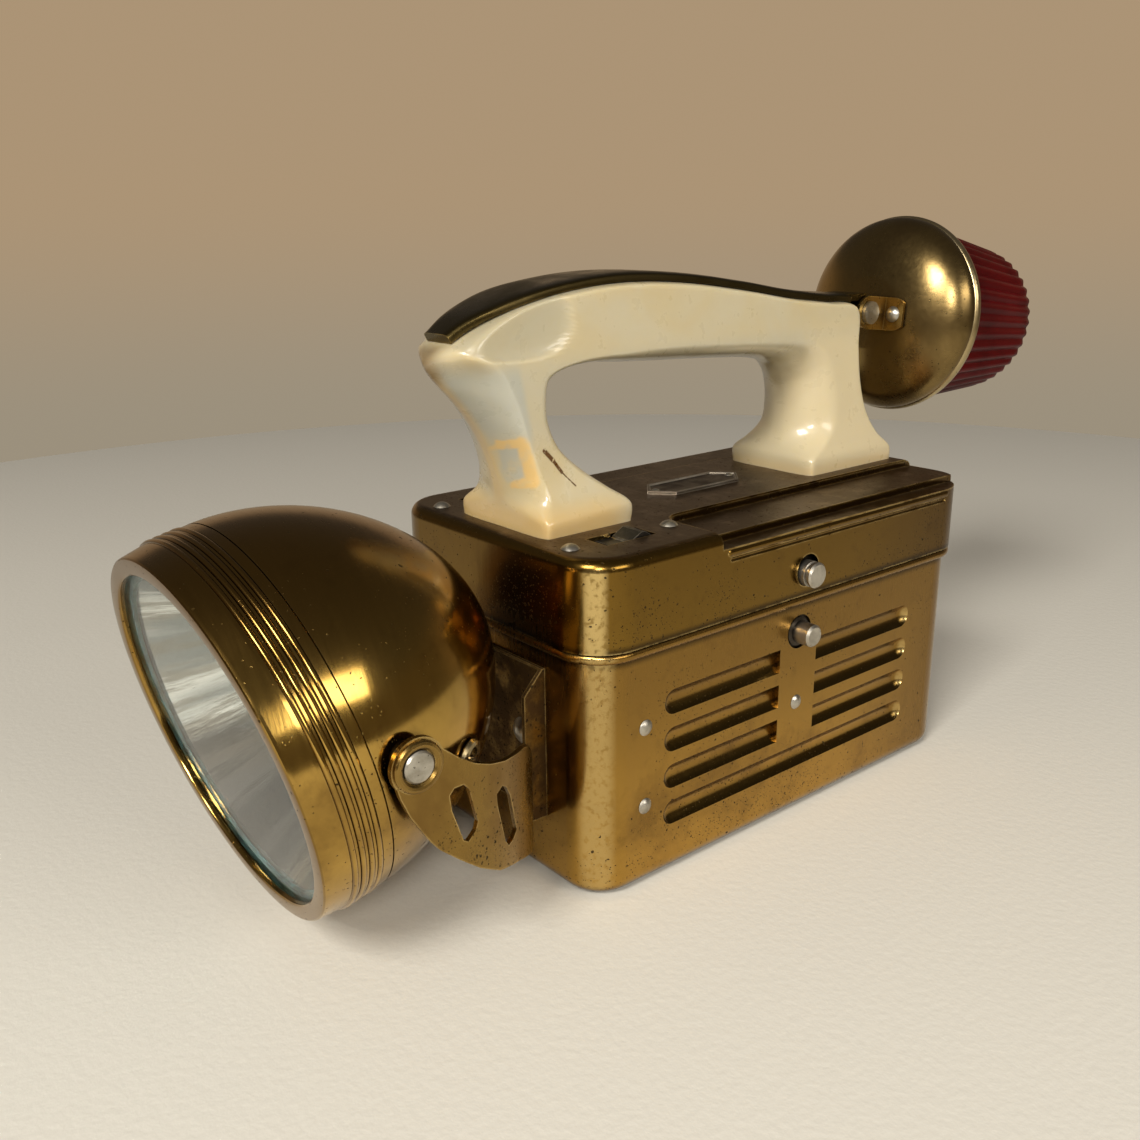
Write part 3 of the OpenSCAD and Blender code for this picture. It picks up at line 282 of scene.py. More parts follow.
# plain worn metal, with painted shade and dirt in its corners
def wornMetal(name, look):
    mat, tree, shader = freshMaterial(name)
    where = objectSpace(tree)
    cloud = ramp(tree, noise(tree, where, look["cloud"], 5.0, 0.6, 0.3), 0.36, 0.68)
    speck = pits(tree, where, look["speck"], look["pits"], 90)
    colour = blendColour(tree, cloud, look["light"], look["dark"])
    # painted shade and dirt: corners darkened by ambient occlusion
    colour = blendColour(tree, times(tree, crevice(tree, 0.002), look.get("grime", 0.6)), colour, look["dirtAndShade"])
    if "bright" in look:
        wear = ramp(tree, noise(tree, where, 190, 4.0), *look.get("patchy", (0.32, 0.6)), look["worn"])
        wear = times(tree, edgeOf(tree, look.get("edge", 0.0005)), wear)
        if "only" in look:
            wear = times(tree, wear, ramp(tree, heightOf(tree, where, 1), *look["only"]))
        colour = blendColour(tree, wear, colour, look["bright"])
    colour = blendColour(tree, times(tree, speck, 0.8), colour, look["dirtAndShade"])
    if "inside" in look:  # blackened where it sits inside the case
        depth = sums(tree, "ABSOLUTE", heightOf(tree, where, 0))
        colour = blendColour(tree, ramp(tree, depth, *look["inside"], 0.0, 0.95), colour, look["dirtAndShade"])
    tree.links.new(colour, shader.inputs["Base Color"])
    shader.inputs["Metallic"].default_value = 1.0
    streak = noise(tree, stretched(tree, where, look["grain"]), 1.0, 3.0, 0.6)
    rough = sums(tree, "MULTIPLY_ADD", cloud, look["dull"], look["gloss"])
    tree.links.new(sums(tree, "MULTIPLY_ADD", streak, 0.12, rough), shader.inputs["Roughness"])
    bumped(tree, shader, sums(tree, "MULTIPLY_ADD", speck, -0.5, streak), 0.2, 0.00012)
    return mat


goldLook = {"brown": (0.17, 0.092, 0.024, 1), "bright": (0.64, 0.47, 0.19, 1), "cloud": 24, "from": 0.42,
    "to": 0.80, "gloss": 0.11, "dull": 0.18, "grain": (900, 900, 60), "scratch": 0.35, "dents": (45, 1.2),
    "dirtAndShade": 0.85, "edge": 0.0004, "worn": 0.3}
caseLook = dict(goldLook, gold=(0.45, 0.262, 0.056, 1), pits=0.21, low=(0.022, 0.002, 0.18),
    high=(0.016, 0.058, 0.60), rear=(0.01, 0.08, 0.75), pressed=0.055, cornerGlint=(0.26, 0.47, 0.6),
    seam=(0.0604, 0.0626, 0.0629))
# the lid's gold and brown are darker than the case's: partly its own browner finish, partly painted shade for the
# dark surroundings it reflects
lidLook = dict(goldLook, gold=(0.215, 0.124, 0.023, 1), brown=(0.115, 0.062, 0.014, 1), pits=0.34,
    low=(0.076, 0.066, 0.14), high=(0.060, 0.090, 0.3), rear=(0.0, 0.08, 0.8), cornerGlint=(0.42, 0.495, 0.9),
    top=(0.088, 0.050, 0.018, 1), dust=(0.27, 0.20, 0.13, 1), edge=0.0008, worn=0.9, seam=(0.0678, 0.0660, 0.09))
lampLook = dict(goldLook, gold=(0.53, 0.336, 0.080, 1), pits=0.10, low=(0.03, 0.01, 0.10),
    high=(0.062, 0.098, 0.85), face=(0, -0.972, -0.233), gloss=0.075, dull=0.09, cloud=17, grain=(60, 700, 60),
    dents=(32, 4.0))
stampedLook = dict(goldLook, gloss=0.20, dull=0.20, cloud=40, edge=0.0006, worn=0.95, scratch=0.9)
yokeLook = dict(stampedLook, gold=(0.28, 0.174, 0.046, 1), pits=0.5, low=(0.056, 0.026, 0.42),
    high=(0.05, 0.08, 0.2), rust=(-0.0865, -0.0835))
earLook = dict(stampedLook, gold=(0.50, 0.335, 0.105, 1), pits=0.2)
nickelLook = {"light": (0.54, 0.51, 0.44, 1), "dark": (0.34, 0.31, 0.25, 1), "dirtAndShade": (0.05, 0.04, 0.03, 1),
    "cloud": 160, "speck": 0.0006, "pits": 0.14, "gloss": 0.26, "dull": 0.2, "grain": (500, 500, 500)}
agedLook = {"dirtAndShade": (0.02, 0.015, 0.01, 1), "speck": 0.0008, "pits": 0.10, "grain": (700, 60, 700)}
bronzeLook = dict(agedLook, light=(0.105, 0.076, 0.026, 1), dark=(0.055, 0.040, 0.015, 1),
    bright=(0.46, 0.32, 0.10, 1), worn=0.8, only=(-0.040, -0.058), cloud=55, gloss=0.20, dull=0.2)
domeLook = dict(agedLook, light=(0.27, 0.185, 0.070, 1), dark=(0.145, 0.096, 0.036, 1), cloud=34, gloss=0.17,
    dull=0.12)
ringLook = dict(domeLook, light=(0.56, 0.46, 0.27, 1), dark=(0.36, 0.27, 0.13, 1))
springLook = dict(nickelLook, light=(0.42, 0.42, 0.40, 1), dark=(0.25, 0.245, 0.23, 1))
switchLook = dict(nickelLook, light=(0.125, 0.12, 0.105, 1), dark=(0.055, 0.052, 0.044, 1),
    bright=(0.66, 0.63, 0.56, 1), worn=0.95, edge=0.0004)
latchLook = dict(nickelLook, light=(0.58, 0.545, 0.47, 1), inside=(0.0400, 0.0418))
contactLook = dict(nickelLook, light=(0.20, 0.135, 0.05, 1), dark=(0.10, 0.066, 0.027, 1))
plateLook = dict(nickelLook, light=(0.12, 0.095, 0.07, 1), dark=(0.05, 0.038, 0.027, 1), cloud=120, gloss=0.34,
    bright=(0.66, 0.61, 0.51, 1), worn=0.9, edge=0.0009, patchy=(0.05, 0.25))

goldCase = goldSheet("goldCase", caseLook)
goldLid = goldSheet("goldLid", lidLook)
goldLamp = goldSheet("goldLamp", lampLook)
goldYoke = goldSheet("goldYoke", yokeLook)
goldEars = goldSheet("goldEars", earLook)
nickel = wornMetal("dullNickel", nickelLook)
bronze = wornMetal("darkBronze", bronzeLook)
flashBronze = wornMetal("flasherBronze", domeLook)
rimMetal = wornMetal("flasherRim", ringLook)
springSteel = wornMetal("springSteel", springLook)
switchSteel = wornMetal("switchSteel", switchLook)
latchSteel = wornMetal("latchSteel", latchLook)
contactBrass = wornMetal("contactBrass", contactLook)
plateMetal = wornMetal("plateMetal", plateLook)


# cream pearl: soft swirls under gloss, amber where it is thin, painted light and shade in places, with one crack
gripMasks = ("litRearLeg", "dusk", "hollowShade", "amber", "burnt")


def pearlPlastic(name, look):
    mat, tree, shader = freshMaterial(name)
    where = objectSpace(tree)
    swirl = noise(tree, where, look["swirl"], 3.0, 0.5, 1.4)
    fine = noise(tree, stretched(tree, where, (120, 240, 240)), 1.0, 3.0, 0.6)
    colour = blendColour(tree, ramp(tree, swirl, 0.35, 0.66), look["cream"], look["pearl"])
    colour = blendColour(tree, ramp(tree, fine, 0.30, 0.90, 0.18), colour, look["shade"])
    for mask in gripMasks:
        share = put(tree, "ShaderNodeAttribute", attribute_name=mask).outputs["Fac"]
        colour = blendColour(tree, share, colour, look[mask])
    loose = wobbled(tree, where, 210, 0.0022)
    for points, tint, share in look["veins"]:
        faded = ramp(tree, noise(tree, where, 230, 3.0), 0.22, 0.52, share, 0.25 * share)
        colour = blendColour(tree, times(tree, lines(tree, loose, points), faded), colour, tint)
    ragged = ramp(tree, noise(tree, where, 1500, 3.0), 0.30, 0.46)
    split = times(tree, lines(tree, where, look["crack"]), ragged)
    colour = blendColour(tree, split, colour, look["crackTone"])
    tree.links.new(colour, shader.inputs["Base Color"])
    shader.inputs["Subsurface Weight"].default_value = 0.35
    shader.inputs["Subsurface Radius"].default_value = (1.0, 0.82, 0.5)
    shader.inputs["Subsurface Scale"].default_value = 0.004
    shader.inputs["Coat Weight"].default_value = 0.5
    shader.inputs["Coat Roughness"].default_value = 0.08
    tree.links.new(ramp(tree, fine, 0.2, 0.8, 0.40, 0.24), shader.inputs["Roughness"])
    dent = times(tree, noise(tree, where, 90, 2.0), 0.2)
    bumped(tree, shader, sums(tree, "MULTIPLY_ADD", split, -1.0, dent), 0.2, 0.0004)
    return mat


# the crack and the veins run through points in millimetres, each with the width up to the next
pearlLook = {"cream": (0.56, 0.465, 0.270, 1), "pearl": (0.56, 0.495, 0.335, 1), "shade": (0.48, 0.405, 0.24, 1),
    "litRearLeg": (0.72, 0.585, 0.33, 1), "dusk": (0.43, 0.425, 0.35, 1), "hollowShade": (0.385, 0.355, 0.255, 1),
    "amber": (0.60, 0.385, 0.125, 1), "burnt": (0.19, 0.125, 0.055, 1), "swirl": 26,
    "crackTone": (0.105, 0.043, 0.008, 1),
    "crack": [((12.2, -64.5, 108.8), 0.75), ((12.3, -61.9, 106.0), 0.6), ((12.8, -59.7, 103.0), 0.28),
        ((13.9, -56.3, 99.3), 0)],
    "veins": [
        ([((9.0, -70.6, 108.2), 5.2), ((8.0, -69.8, 105.0), 0)], (0.37, 0.40, 0.375, 1), 0.6),
        ([((3.0, -73.2, 109.3), 1.5), ((7.0, -72.4, 111.2), 1.9), ((12.1, -69.2, 112.1), 2.3),
            ((12.0, -67.2, 105.3), 2.4), ((12.4, -66.6, 102.8), 1.6), ((6.5, -69.4, 101.0), 0)],
            (0.70, 0.47, 0.17, 1), 0.8)]}
pearl = pearlPlastic("creamPearl", pearlLook)


def softStuff(name, look):
    mat, tree, shader = freshMaterial(name)
    where = objectSpace(tree)
    cloud = noise(tree, where, look["cloud"], 5.0, 0.6)
    colour = blendColour(tree, ramp(tree, cloud, 0.35, 0.7), look["light"], look["dark"])
    tree.links.new(colour, shader.inputs["Base Color"])
    tree.links.new(ramp(tree, cloud, 0.2, 0.8, look["dull"], look["gloss"]), shader.inputs["Roughness"])
    bumped(tree, shader, noise(tree, where, look["cloud"] * 6, 4.0), 0.2, 0.0003)
    return mat


fibre = softStuff("brownFibre", {"light": (0.20, 0.105, 0.05, 1), "dark": (0.11, 0.055, 0.027, 1), "cloud": 90,
    "gloss": 0.45, "dull": 0.7})
jacket = softStuff("batteryJacket", {"light": (0.16, 0.17, 0.18, 1), "dark": (0.09, 0.095, 0.1, 1), "cloud": 40,
    "gloss": 0.35, "dull": 0.6})
sealRubber = softStuff("sealRubber", {"light": (0.07, 0.20, 0.20, 1), "dark": (0.025, 0.08, 0.085, 1), "cloud": 200,
    "gloss": 0.35, "dull": 0.6})
slotDark = softStuff("slotDark", {"light": (0.022, 0.024, 0.022, 1), "dark": (0.010, 0.011, 0.010, 1), "cloud": 300,
    "gloss": 0.5, "dull": 0.8})


def clearGlass(name, tint, film, bend):
    mat, tree, shader = freshMaterial(name)
    where = objectSpace(tree)
    haze = noise(tree, where, 70, 5.0)
    tree.links.new(blendColour(tree, ramp(tree, haze, 0.4, 0.8), tint, film), shader.inputs["Base Color"])
    shader.inputs["Transmission Weight"].default_value = 1.0
    shader.inputs["IOR"].default_value = bend
    tree.links.new(ramp(tree, haze, 0.45, 0.8, 0.006, 0.0), shader.inputs["Roughness"])
    bumped(tree, shader, noise(tree, where, 25, 2.0), 0.02, 0.0001)
    return mat


lensGlass = clearGlass("lensGlass", (0.97, 0.99, 0.985, 1), (0.93, 0.96, 0.95, 1), 1.12)
bulbGlass = clearGlass("bulbGlass", (0.96, 0.96, 0.94, 1), (0.90, 0.90, 0.87, 1), 1.45)


def redPlastic(name, look):
    mat, tree, shader = freshMaterial(name)
    where = objectSpace(tree)
    cloud = noise(tree, where, 45, 4.0)
    colour = blendColour(tree, ramp(tree, cloud, 0.35, 0.7), look["light"], look["deep"])
    tree.links.new(colour, shader.inputs["Base Color"])
    shader.inputs["Subsurface Weight"].default_value = 0.15
    shader.inputs["Subsurface Scale"].default_value = 0.003
    shader.inputs["IOR"].default_value = 1.49
    shader.inputs["Specular IOR Level"].default_value = 0.05
    tree.links.new(ramp(tree, cloud, 0.2, 0.8, 0.42, 0.26), shader.inputs["Roughness"])
    bumped(tree, shader, noise(tree, where, 600, 3.0), 0.05, 0.0002)
    return mat


ruby = redPlastic("rubyLens", {"light": (0.080, 0.001, 0.002, 1), "deep": (0.045, 0.0007, 0.0015, 1)})


# silvered bowl, streaked along its radii and a little yellowed
def silverBowl(name, look):
    mat, tree, shader = freshMaterial(name)
    where = vectors(tree, "SUBTRACT", objectSpace(tree), look["pivot"])
    level = (-math.radians(look["tilt"]), 0, 0)
    local = put(tree, "ShaderNodeMapping", {"Vector": where, "Rotation": level}).outputs[0]
    spoke = vectors(tree, "NORMALIZE", vectors(tree, "MULTIPLY", local, (1, 0, 1)))
    along = vectors(tree, "MULTIPLY_ADD", spoke, (5, 5, 5), scaled(tree, local, 14.0))
    broad = noise(tree, along, 0.55, 3.0, 0.5)
    fine = noise(tree, along, 3.2, 5.0, 0.65)
    colour = blendColour(tree, ramp(tree, broad, 0.43, 0.57), look["light"], look["dark"])
    colour = blendColour(tree, ramp(tree, fine, 0.47, 0.64, 0.8), colour, look["stain"])
    spot = pits(tree, local, 0.0009, 0.05, 60)
    colour = blendColour(tree, times(tree, spot, 0.7), colour, look["spot"])
    tree.links.new(colour, shader.inputs["Base Color"])
    shader.inputs["Metallic"].default_value = 1.0
    tree.links.new(ramp(tree, fine, 0.25, 0.75, look["dull"], look["gloss"]), shader.inputs["Roughness"])
    bumped(tree, shader, sums(tree, "MULTIPLY_ADD", fine, 0.6, broad), 0.22, 0.0012)
    return mat


silvered = silverBowl("silveredBowl", {"pivot": (0, -0.1255, 0.0593), "tilt": 13.5, "light": (0.90, 0.92, 0.90, 1),
    "dark": (0.27, 0.30, 0.30, 1), "stain": (0.26, 0.235, 0.175, 1), "spot": (0.22, 0.19, 0.15, 1), "gloss": 0.04,
    "dull": 0.14})
print("materials made")

finishes = {
    "case_shell": goldCase, "lid_shell": goldLid, "yoke_bracket": goldYoke, "lamp_shell": goldLamp,
    "lamp_bezel": goldLamp, "contact_bracket": contactBrass, "flasher_ears": goldEars, "wire_eyelet": rimMetal,
    "contact_strips": contactBrass, "lamp_bulb_base": contactBrass, "name_plate": plateMetal,
    "latch_roots": springSteel, "latch_leaf_right": latchSteel, "latch_leaf_left": latchSteel,
    "latch_button_right": latchSteel, "latch_button_left": latchSteel, "switch_slider_right": switchSteel,
    "switch_slider_left": switchSteel, "battery_terminals": springSteel, "handle_strip": bronze,
    "strip_pins": slotDark, "flasher_lug": bronze,
    "flasher_dome": flashBronze, "flasher_ring": rimMetal, "contact_board": fibre, "switch_frames": slotDark,
    "battery": jacket, "handle": pearl, "flasher_lens": ruby, "lamp_lens": lensGlass, "lamp_bulb_glass": bulbGlass,
    "flasher_bulb": bulbGlass, "lamp_reflector": silvered, "lamp_gasket": sealRubber,
}
for name, obj in nodes.items():
    obj.data.materials.clear()
    obj.data.materials.append(finishes.get(name, nickel))


# a skin over rings of equally many points, in millimetres
def skinned(name, node, rings, wrap=False, caps=False, sharp=35):
    count = len(rings[0])
    verts = [[c / 1000 for c in p] for ring in rings for p in ring]
    faces = []
    for i in range(len(rings) if wrap else len(rings) - 1):
        here, there = i * count, (i + 1) % len(rings) * count
        faces += [(here + k, here + (k + 1) % count, there + (k + 1) % count, there + k) for k in range(count)]
    if caps:
        faces += [list(range(count))[::-1], list(range(len(verts) - count, len(verts)))]
    mesh = bpy.data.meshes.new(name)
    mesh.from_pydata(verts, [], faces)
    bm = bmesh.new()
    bm.from_mesh(mesh)
    bmesh.ops.remove_doubles(bm, verts=bm.verts, dist=1e-7)
    bmesh.ops.recalc_face_normals(bm, faces=bm.faces)
    bm.to_mesh(mesh)
    bm.free()
    mesh.shade_smooth()
    mesh.set_sharp_from_angle(angle=math.radians(sharp))
    mesh.materials.append(finishes.get(node, nickel))
    piece = bpy.data.objects.new(name, mesh)
    scene.collection.objects.link(piece)
    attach(piece, bodyOf[node])
    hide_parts(node)
    return piece


# turned work: profile of radius and distance along the axis
def turned(name, node, profile, place, steps=192, wrap=False, sharp=35):
    rings = [[place(rad, s, 2 * math.pi * k / steps) for k in range(steps)] for rad, s in profile]
    return skinned(name, node, rings, wrap=wrap, sharp=sharp)


# handle: outer point, inner point, half width, then depth and squareness outside and inside; heights above the lid
grip = {
    "lid": 88.55,
    "steps": 12,
    "quarter": 14,
    "flank": 18,
    "seam": 0.16,
    "rows": [
        (-69.3, 0, -40.2, 0, 18, 3, 5, 3, 5), (-69.3, 3.6, -40.2, 4.8, 18, 3, 5, 3, 5),
        (-69.6, 7, -43.8, 8.6, 15.2, 4.5, 1.9, 3.5, 2.6), (-70.8, 12.5, -50.6, 14, 13, 5.2, 1.5, 4, 2.2),
        (-72.8, 18.5, -56.6, 19.8, 12.2, 5.6, 1.45, 4, 2), (-76.2, 25, -59.9, 26, 12.2, 6.6, 1.4, 4, 2),
        (-81.2, 31.5, -60.6, 31.6, 12.2, 9.5, 1.35, 4, 2), (-89.6, 41.5, -58.6, 36.6, 12.2, 14, 1.35, 5, 2),
        (-83.5, 47.4, -52.6, 38.6, 12.2, 4, 3, 5, 2), (-69, 53.9, -43.5, 38.6, 12.2, 2, 5, 5, 1.8),
        (-52, 57.1, -33, 37.8, 12.2, 2, 5, 5, 1.8), (-34, 58.2, -24, 37.2, 12.2, 2, 5, 5, 1.8),
        (-14, 57.1, -11, 36.5, 12.2, 2, 5, 5, 1.8), (8, 54.2, 5, 35.6, 12.2, 2, 5, 5, 1.8),
        (27, 51.1, 19, 34.4, 12.2, 2, 5, 6, 1.9), (43, 49.2, 28.5, 32, 12.2, 2, 5, 9, 1.9),
        (55.6, 47.4, 33, 27, 12.2, 2.5, 4, 12, 1.9), (57.8, 36.5, 34.4, 22, 12.2, 3, 3, 13, 1.9),
        (59.4, 25.5, 34.8, 16.5, 12.6, 3, 3, 13, 1.9), (62.2, 16, 34.2, 11.5, 13.4, 3, 3, 12, 1.9),
        (66.4, 9, 32.6, 7.4, 14.8, 3, 3, 7, 2.2), (71.3, 4.2, 31.2, 4.4, 16, 3, 4, 3, 4),
        (71.8, 0, 31.2, 0, 16, 3, 4, 3, 4)],
}


def alongGrip(u):
    rows = grip["rows"]
    i = min(int(u), len(rows) - 2)
    t = u - i
    a, b, c, d = (rows[min(max(i + k, 0), len(rows) - 1)] for k in (-1, 0, 1, 2))
    return [0.5 * (2 * q + (s - p) * t + (2 * p - 5 * q + 4 * s - w) * t * t + (3 * q - p - 3 * s + w) * t ** 3)
        for p, q, s, w in zip(a, b, c, d)]


# thumb hollow at each side of the nose
thumb = {"y": -71.5, "z": 50.5, "long": 16, "high": 8.4, "power": 2.5, "deep": 1.6, "rim": 0.42, "inset": 6}


def thumbHollow(y, z):
    q = abs((y - thumb["y"]) / thumb["long"]) ** thumb["power"]
    q += abs((z - thumb["z"]) / thumb["high"]) ** thumb["power"]
    return thumb["deep"] * (1 - q) ** thumb["rim"] if q < 1 else 0.0


def gripRing(row):
    oy, oz, iy, iz, w, no, eo, ni, ei = row
    length = math.hypot(iy - oy, iz - oz)
    dy, dz = (iy - oy) / length, (iz - oz) / length
    n = grip["quarter"]
    turns = [math.pi / 2 * k / n for k in range(n + 1)]
    half = [(w * math.sin(t) ** (2 / eo), no * (1 - max(0.0, math.cos(t)) ** (2 / eo))) for t in turns]
    half += [(w, no + (length - ni - no) * k / grip["flank"]) for k in range(1, grip["flank"])]
    half += [(w * max(0.0, math.cos(t)) ** (2 / ei), length - ni * (1 - math.sin(t) ** (2 / ei))) for t in turns]
    half[0] = (0.0, grip["seam"])  # mould seam, outside and inside
    half[-1] = (0.0, length - grip["seam"])
    ring = []
    for k in range(2 * len(half) - 2):
        x, s = half[k if k < len(half) else 2 * len(half) - 2 - k]
        y, z = oy + dy * s, oz + dz * s
        x -= thumbHollow(y, z) * min(1, x / thumb["inset"])
        ring.append((x if k < len(half) else -x, y, z + grip["lid"]))
    return ring


spanRows = len(grip["rows"]) - 1
gripRings = [gripRing(alongGrip(i / grip["steps"])) for i in range(spanRows * grip["steps"] + 1)]
handle = skinned("pearlHandle", "handle", gripRings, caps=True, sharp=48)


def fade(value, low, high):
    t = min(max((value - low) / (high - low), 0.0), 1.0)
    return t * t * (3 - 2 * t)


# where the handle's tone changes: thin edges go amber, the front leg is greyer, the nose is chipped brown; some of
# these tones are painted light or shade
tone = {"front": (38, 52), "legTop": (38, 44), "foot": (2.5, 9.5), "rearFoot": (1, 4), "ridge": (0.8, 3.4),
    "ridgeBack": (60, 70), "facet": (-72.5, -70.5), "facetTop": 41, "lean": 0.207, "legFoot": (17, 27),
    "arch": (40, 44), "dip": (0.0, 0.9), "flank": (5, 8), "nose": (84.5, 88.2), "noseSide": (0, 6.5),
    "noseFoot": (32, 38), "rear": (22, 40), "rearTop": (36, 46)}


def gripTone(x, y, z):
    h = z - grip["lid"]
    front = fade(-y, *tone["front"])
    leg = front * (1 - fade(h, *tone["legTop"]))
    foot = (1 - fade(h, *tone["foot"])) * front
    ridge = (1 - fade(abs(x), *tone["ridge"])) * leg * fade(-y, *tone["ridgeBack"])
    rearFoot = (1 - fade(h, *tone["rearFoot"])) * (1 - front)
    # the amber on thin edges is partly the plastic's own tint and partly painted light shining through them
    amber = min(0.9, max(0.62 * foot, 0.42 * ridge, 0.30 * rearFoot))
    lean = (tone["facetTop"] - h) * tone["lean"]
    facet = 1 - fade(y, tone["facet"][0] + lean, tone["facet"][1] + lean)  # the narrow front face
    # the front leg's grey is partly the pearl's own bluish grey and partly painted shade, most on its narrow front
    # face; below about 40 mm behind the front leg a little painted shade is added
    dusk = (0.35 + 0.6 * facet) * leg * fade(h, *tone["legFoot"]) * (1 - amber)
    dusk = max(dusk, 0.30 * (1 - fade(h, *tone["arch"])) * (1 - front))
    # painted shade: the thumb hollow is darkened, since the frontal light gives it no shade of its own
    hollowShade = 0.6 * fade(thumbHollow(y, h), *tone["dip"]) * fade(abs(x), *tone["flank"])
    burnt = 0.85 * fade(-y, *tone["nose"]) * (1 - fade(x, *tone["noseSide"])) * fade(h, *tone["noseFoot"])
    # painted light: the lower rear leg is made paler, standing in for the stronger light falling on it
    litRearLeg = fade(y, *tone["rear"]) * (1 - fade(h, *tone["rearTop"]))
    return litRearLeg, dusk, hollowShade, amber, burnt


shares = [gripTone(*(v.co * 1000)) for v in handle.data.vertices]
for index, mask in enumerate(gripMasks):
    layer = handle.data.attributes.new(mask, "FLOAT", "POINT")
    layer.data.foreach_set("value", [row[index] for row in shares])
print("handle:", len(handle.data.vertices), "points")

# strip over the grip, bulging where it turns down at its front end
strip = {"from": 7.84, "to": 15.85, "steps": 150, "half": 9.4, "thick": 2.4, "bulge": 0.35, "narrow": 0.52,
    "gap": 0.1, "bend": 8.35, "spread": 0.36, "taper": (7.7, 9.3), "edge": 0.15, "wall": 0.5, "power": 0.42}


def stripRing(i):
    u = strip["from"] + (strip["to"] - strip["from"]) * i / strip["steps"]
    row, later = alongGrip(u), alongGrip(u + 0.02)
    dy, dz = later[0] - row[0], later[1] - row[1]
    length = math.hypot(dy, dz)
    ny, nz = -dz / length, dy / length
    lift = strip["gap"] + strip["bulge"] * math.exp(-((u - strip["bend"]) / strip["spread"]) ** 2)
    w = strip["half"] * (1 - (1 - strip["narrow"]) * (1 - fade(u, *strip["taper"])))
    edge, wall, power = strip["edge"], strip["wall"], strip["power"]
    shape = [(w - edge, 0), (w * 0.5, 0), (-w * 0.5, 0), (-w + edge, 0), (-w, edge)]
    for k in range(17):  # crowned top with rolled edges
        q = math.pi * (1 - k / 16)
        across = w * math.copysign(abs(math.cos(q)) ** power, math.cos(q))
        shape.append((across, wall + (strip["thick"] - wall) * math.sin(q) ** power))
    shape.append((w, edge))
    return [(across, row[0] + ny * (out + lift), row[1] + nz * (out + lift) + grip["lid"]) for across, out in shape]


skinned("gripStrip", "handle_strip", [stripRing(i) for i in range(strip["steps"] + 1)], caps=True, sharp=40)
print("strip laid")

# headlamp: everything turned about its tilted axis, s back from the front rim
lamp = {"pivot": (0, -125.5, 59.3), "tilt": 13.5, "in": 23.7, "r": 45.3, "length": 70, "bezel": 16.3, "sheet": 0.8,
    "open": 40.1, "bowl": 40.6, "neck": 7.7, "deep": 32, "tube": 9, "tubeWall": 0.9, "seat": 5.35,
    "gap": 0.05, "tuck": 2.5, "round": (1.8, 1.85), "rings": 72}


def lampPlace(rad, s, t):
    c, d = math.cos(math.radians(lamp["tilt"])), math.sin(math.radians(lamp["tilt"]))
    y, z = s - lamp["in"], rad * math.sin(t)
    return (rad * math.cos(t), lamp["pivot"][1] + y * c - z * d, lamp["pivot"][2] + y * d + z * c)


def dome(rad, length):
    wide, deep = (2 / power for power in lamp["round"])
    turns = [math.pi / 2 * (1 - k / lamp["rings"]) for k in range(lamp["rings"] + 1)]
    start = lamp["bezel"] + lamp["gap"]
    return [(rad * max(0.0, math.cos(t)) ** wide, start + length * math.sin(t) ** deep) for t in turns]


outside = dome(lamp["r"], lamp["length"] - lamp["bezel"])
inside = dome(lamp["r"] - lamp["sheet"], lamp["length"] - lamp["bezel"] - lamp["sheet"])
outside[0], inside[0] = (0.0, outside[0][1]), (0.0, inside[0][1])
neck, tuck = lamp["r"] - lamp["sheet"] - lamp["gap"], lamp["bezel"] - lamp["tuck"]
shellLine = outside + [(neck, lamp["bezel"] + lamp["gap"]), (neck, tuck), (neck - lamp["sheet"], tuck)]
shellLine += [(min(rad, neck - lamp["sheet"]), s) for rad, s in reversed(inside)]
turned("lampDome", "lamp_shell", shellLine, lampPlace)

# rim: rounded front, flared wall, four rolled ridges, then back inside
rim = {"inner": [(0, 0.75), (0.12, 0.35), (0.45, 0.08), (0.9, 0.0)],
    "outer": [(-1.0, 0.0), (-0.45, 0.1), (-0.12, 0.4), (0, 0.9)],
    "lip": 0.9, "flare": 0.6, "wall": 4.6, "ridges": (7, 9, 11, 13), "swell": 0.70, "sunk": 0.35, "root": 0.75,
    "rise": 0.3, "start": 6, "run": 8}
lip = lamp["r"] - rim["lip"]
rimLine = [(lamp["open"] + rad, s) for rad, s in rim["inner"]] + [(lip + rad, s) for rad, s in rim["outer"]]
rimLine += [(lip + rim["flare"] * k / 24, rim["lip"] + rim["wall"] * k / 24) for k in range(1, 25)]
for ridge in rim["ridges"]:
    root = lamp["r"] - rim["rise"] + rim["rise"] * (ridge - rim["start"]) / rim["run"]
    rimLine.append((root - 0.02, ridge - rim["root"]))
    for k in range(9):
        q = math.pi * (1 - k / 8)
        rimLine.append((lamp["r"] - rim["sunk"] + rim["swell"] * math.sin(q), ridge + rim["swell"] * math.cos(q)))
    rimLine.append((root, ridge + rim["root"]))
rimLine += [(lamp["r"], 14.2), (lamp["r"], 16.0), (lamp["r"] - 0.12, 16.22), (lamp["r"] - 0.8, 16.25),
    (lamp["r"] - 0.8, 13.4), (lamp["r"] - 1.4, 6), (lip - 0.9, 1.4), (lamp["open"], 1.4)]
turned("lampRim", "lamp_bezel", rimLine, lampPlace, steps=240, wrap=True, sharp=28)

glass = {"crown": 39.1, "r": 43.1, "front": 1.45, "bulge": 0.5, "back": 3.85, "edge": 0.1}
near, far, wide, edge = glass["front"], glass["back"], glass["r"], glass["edge"]
glassLine = [(glass["crown"] * k / 24, near - glass["bulge"] * (1 - (k / 24) ** 2)) for k in range(25)]
glassLine += [(wide - edge, near), (wide, near + edge), (wide, far - edge), (wide - edge, far), (0, far)]
turned("lampGlass", "lamp_lens", glassLine, lampPlace, steps=160)

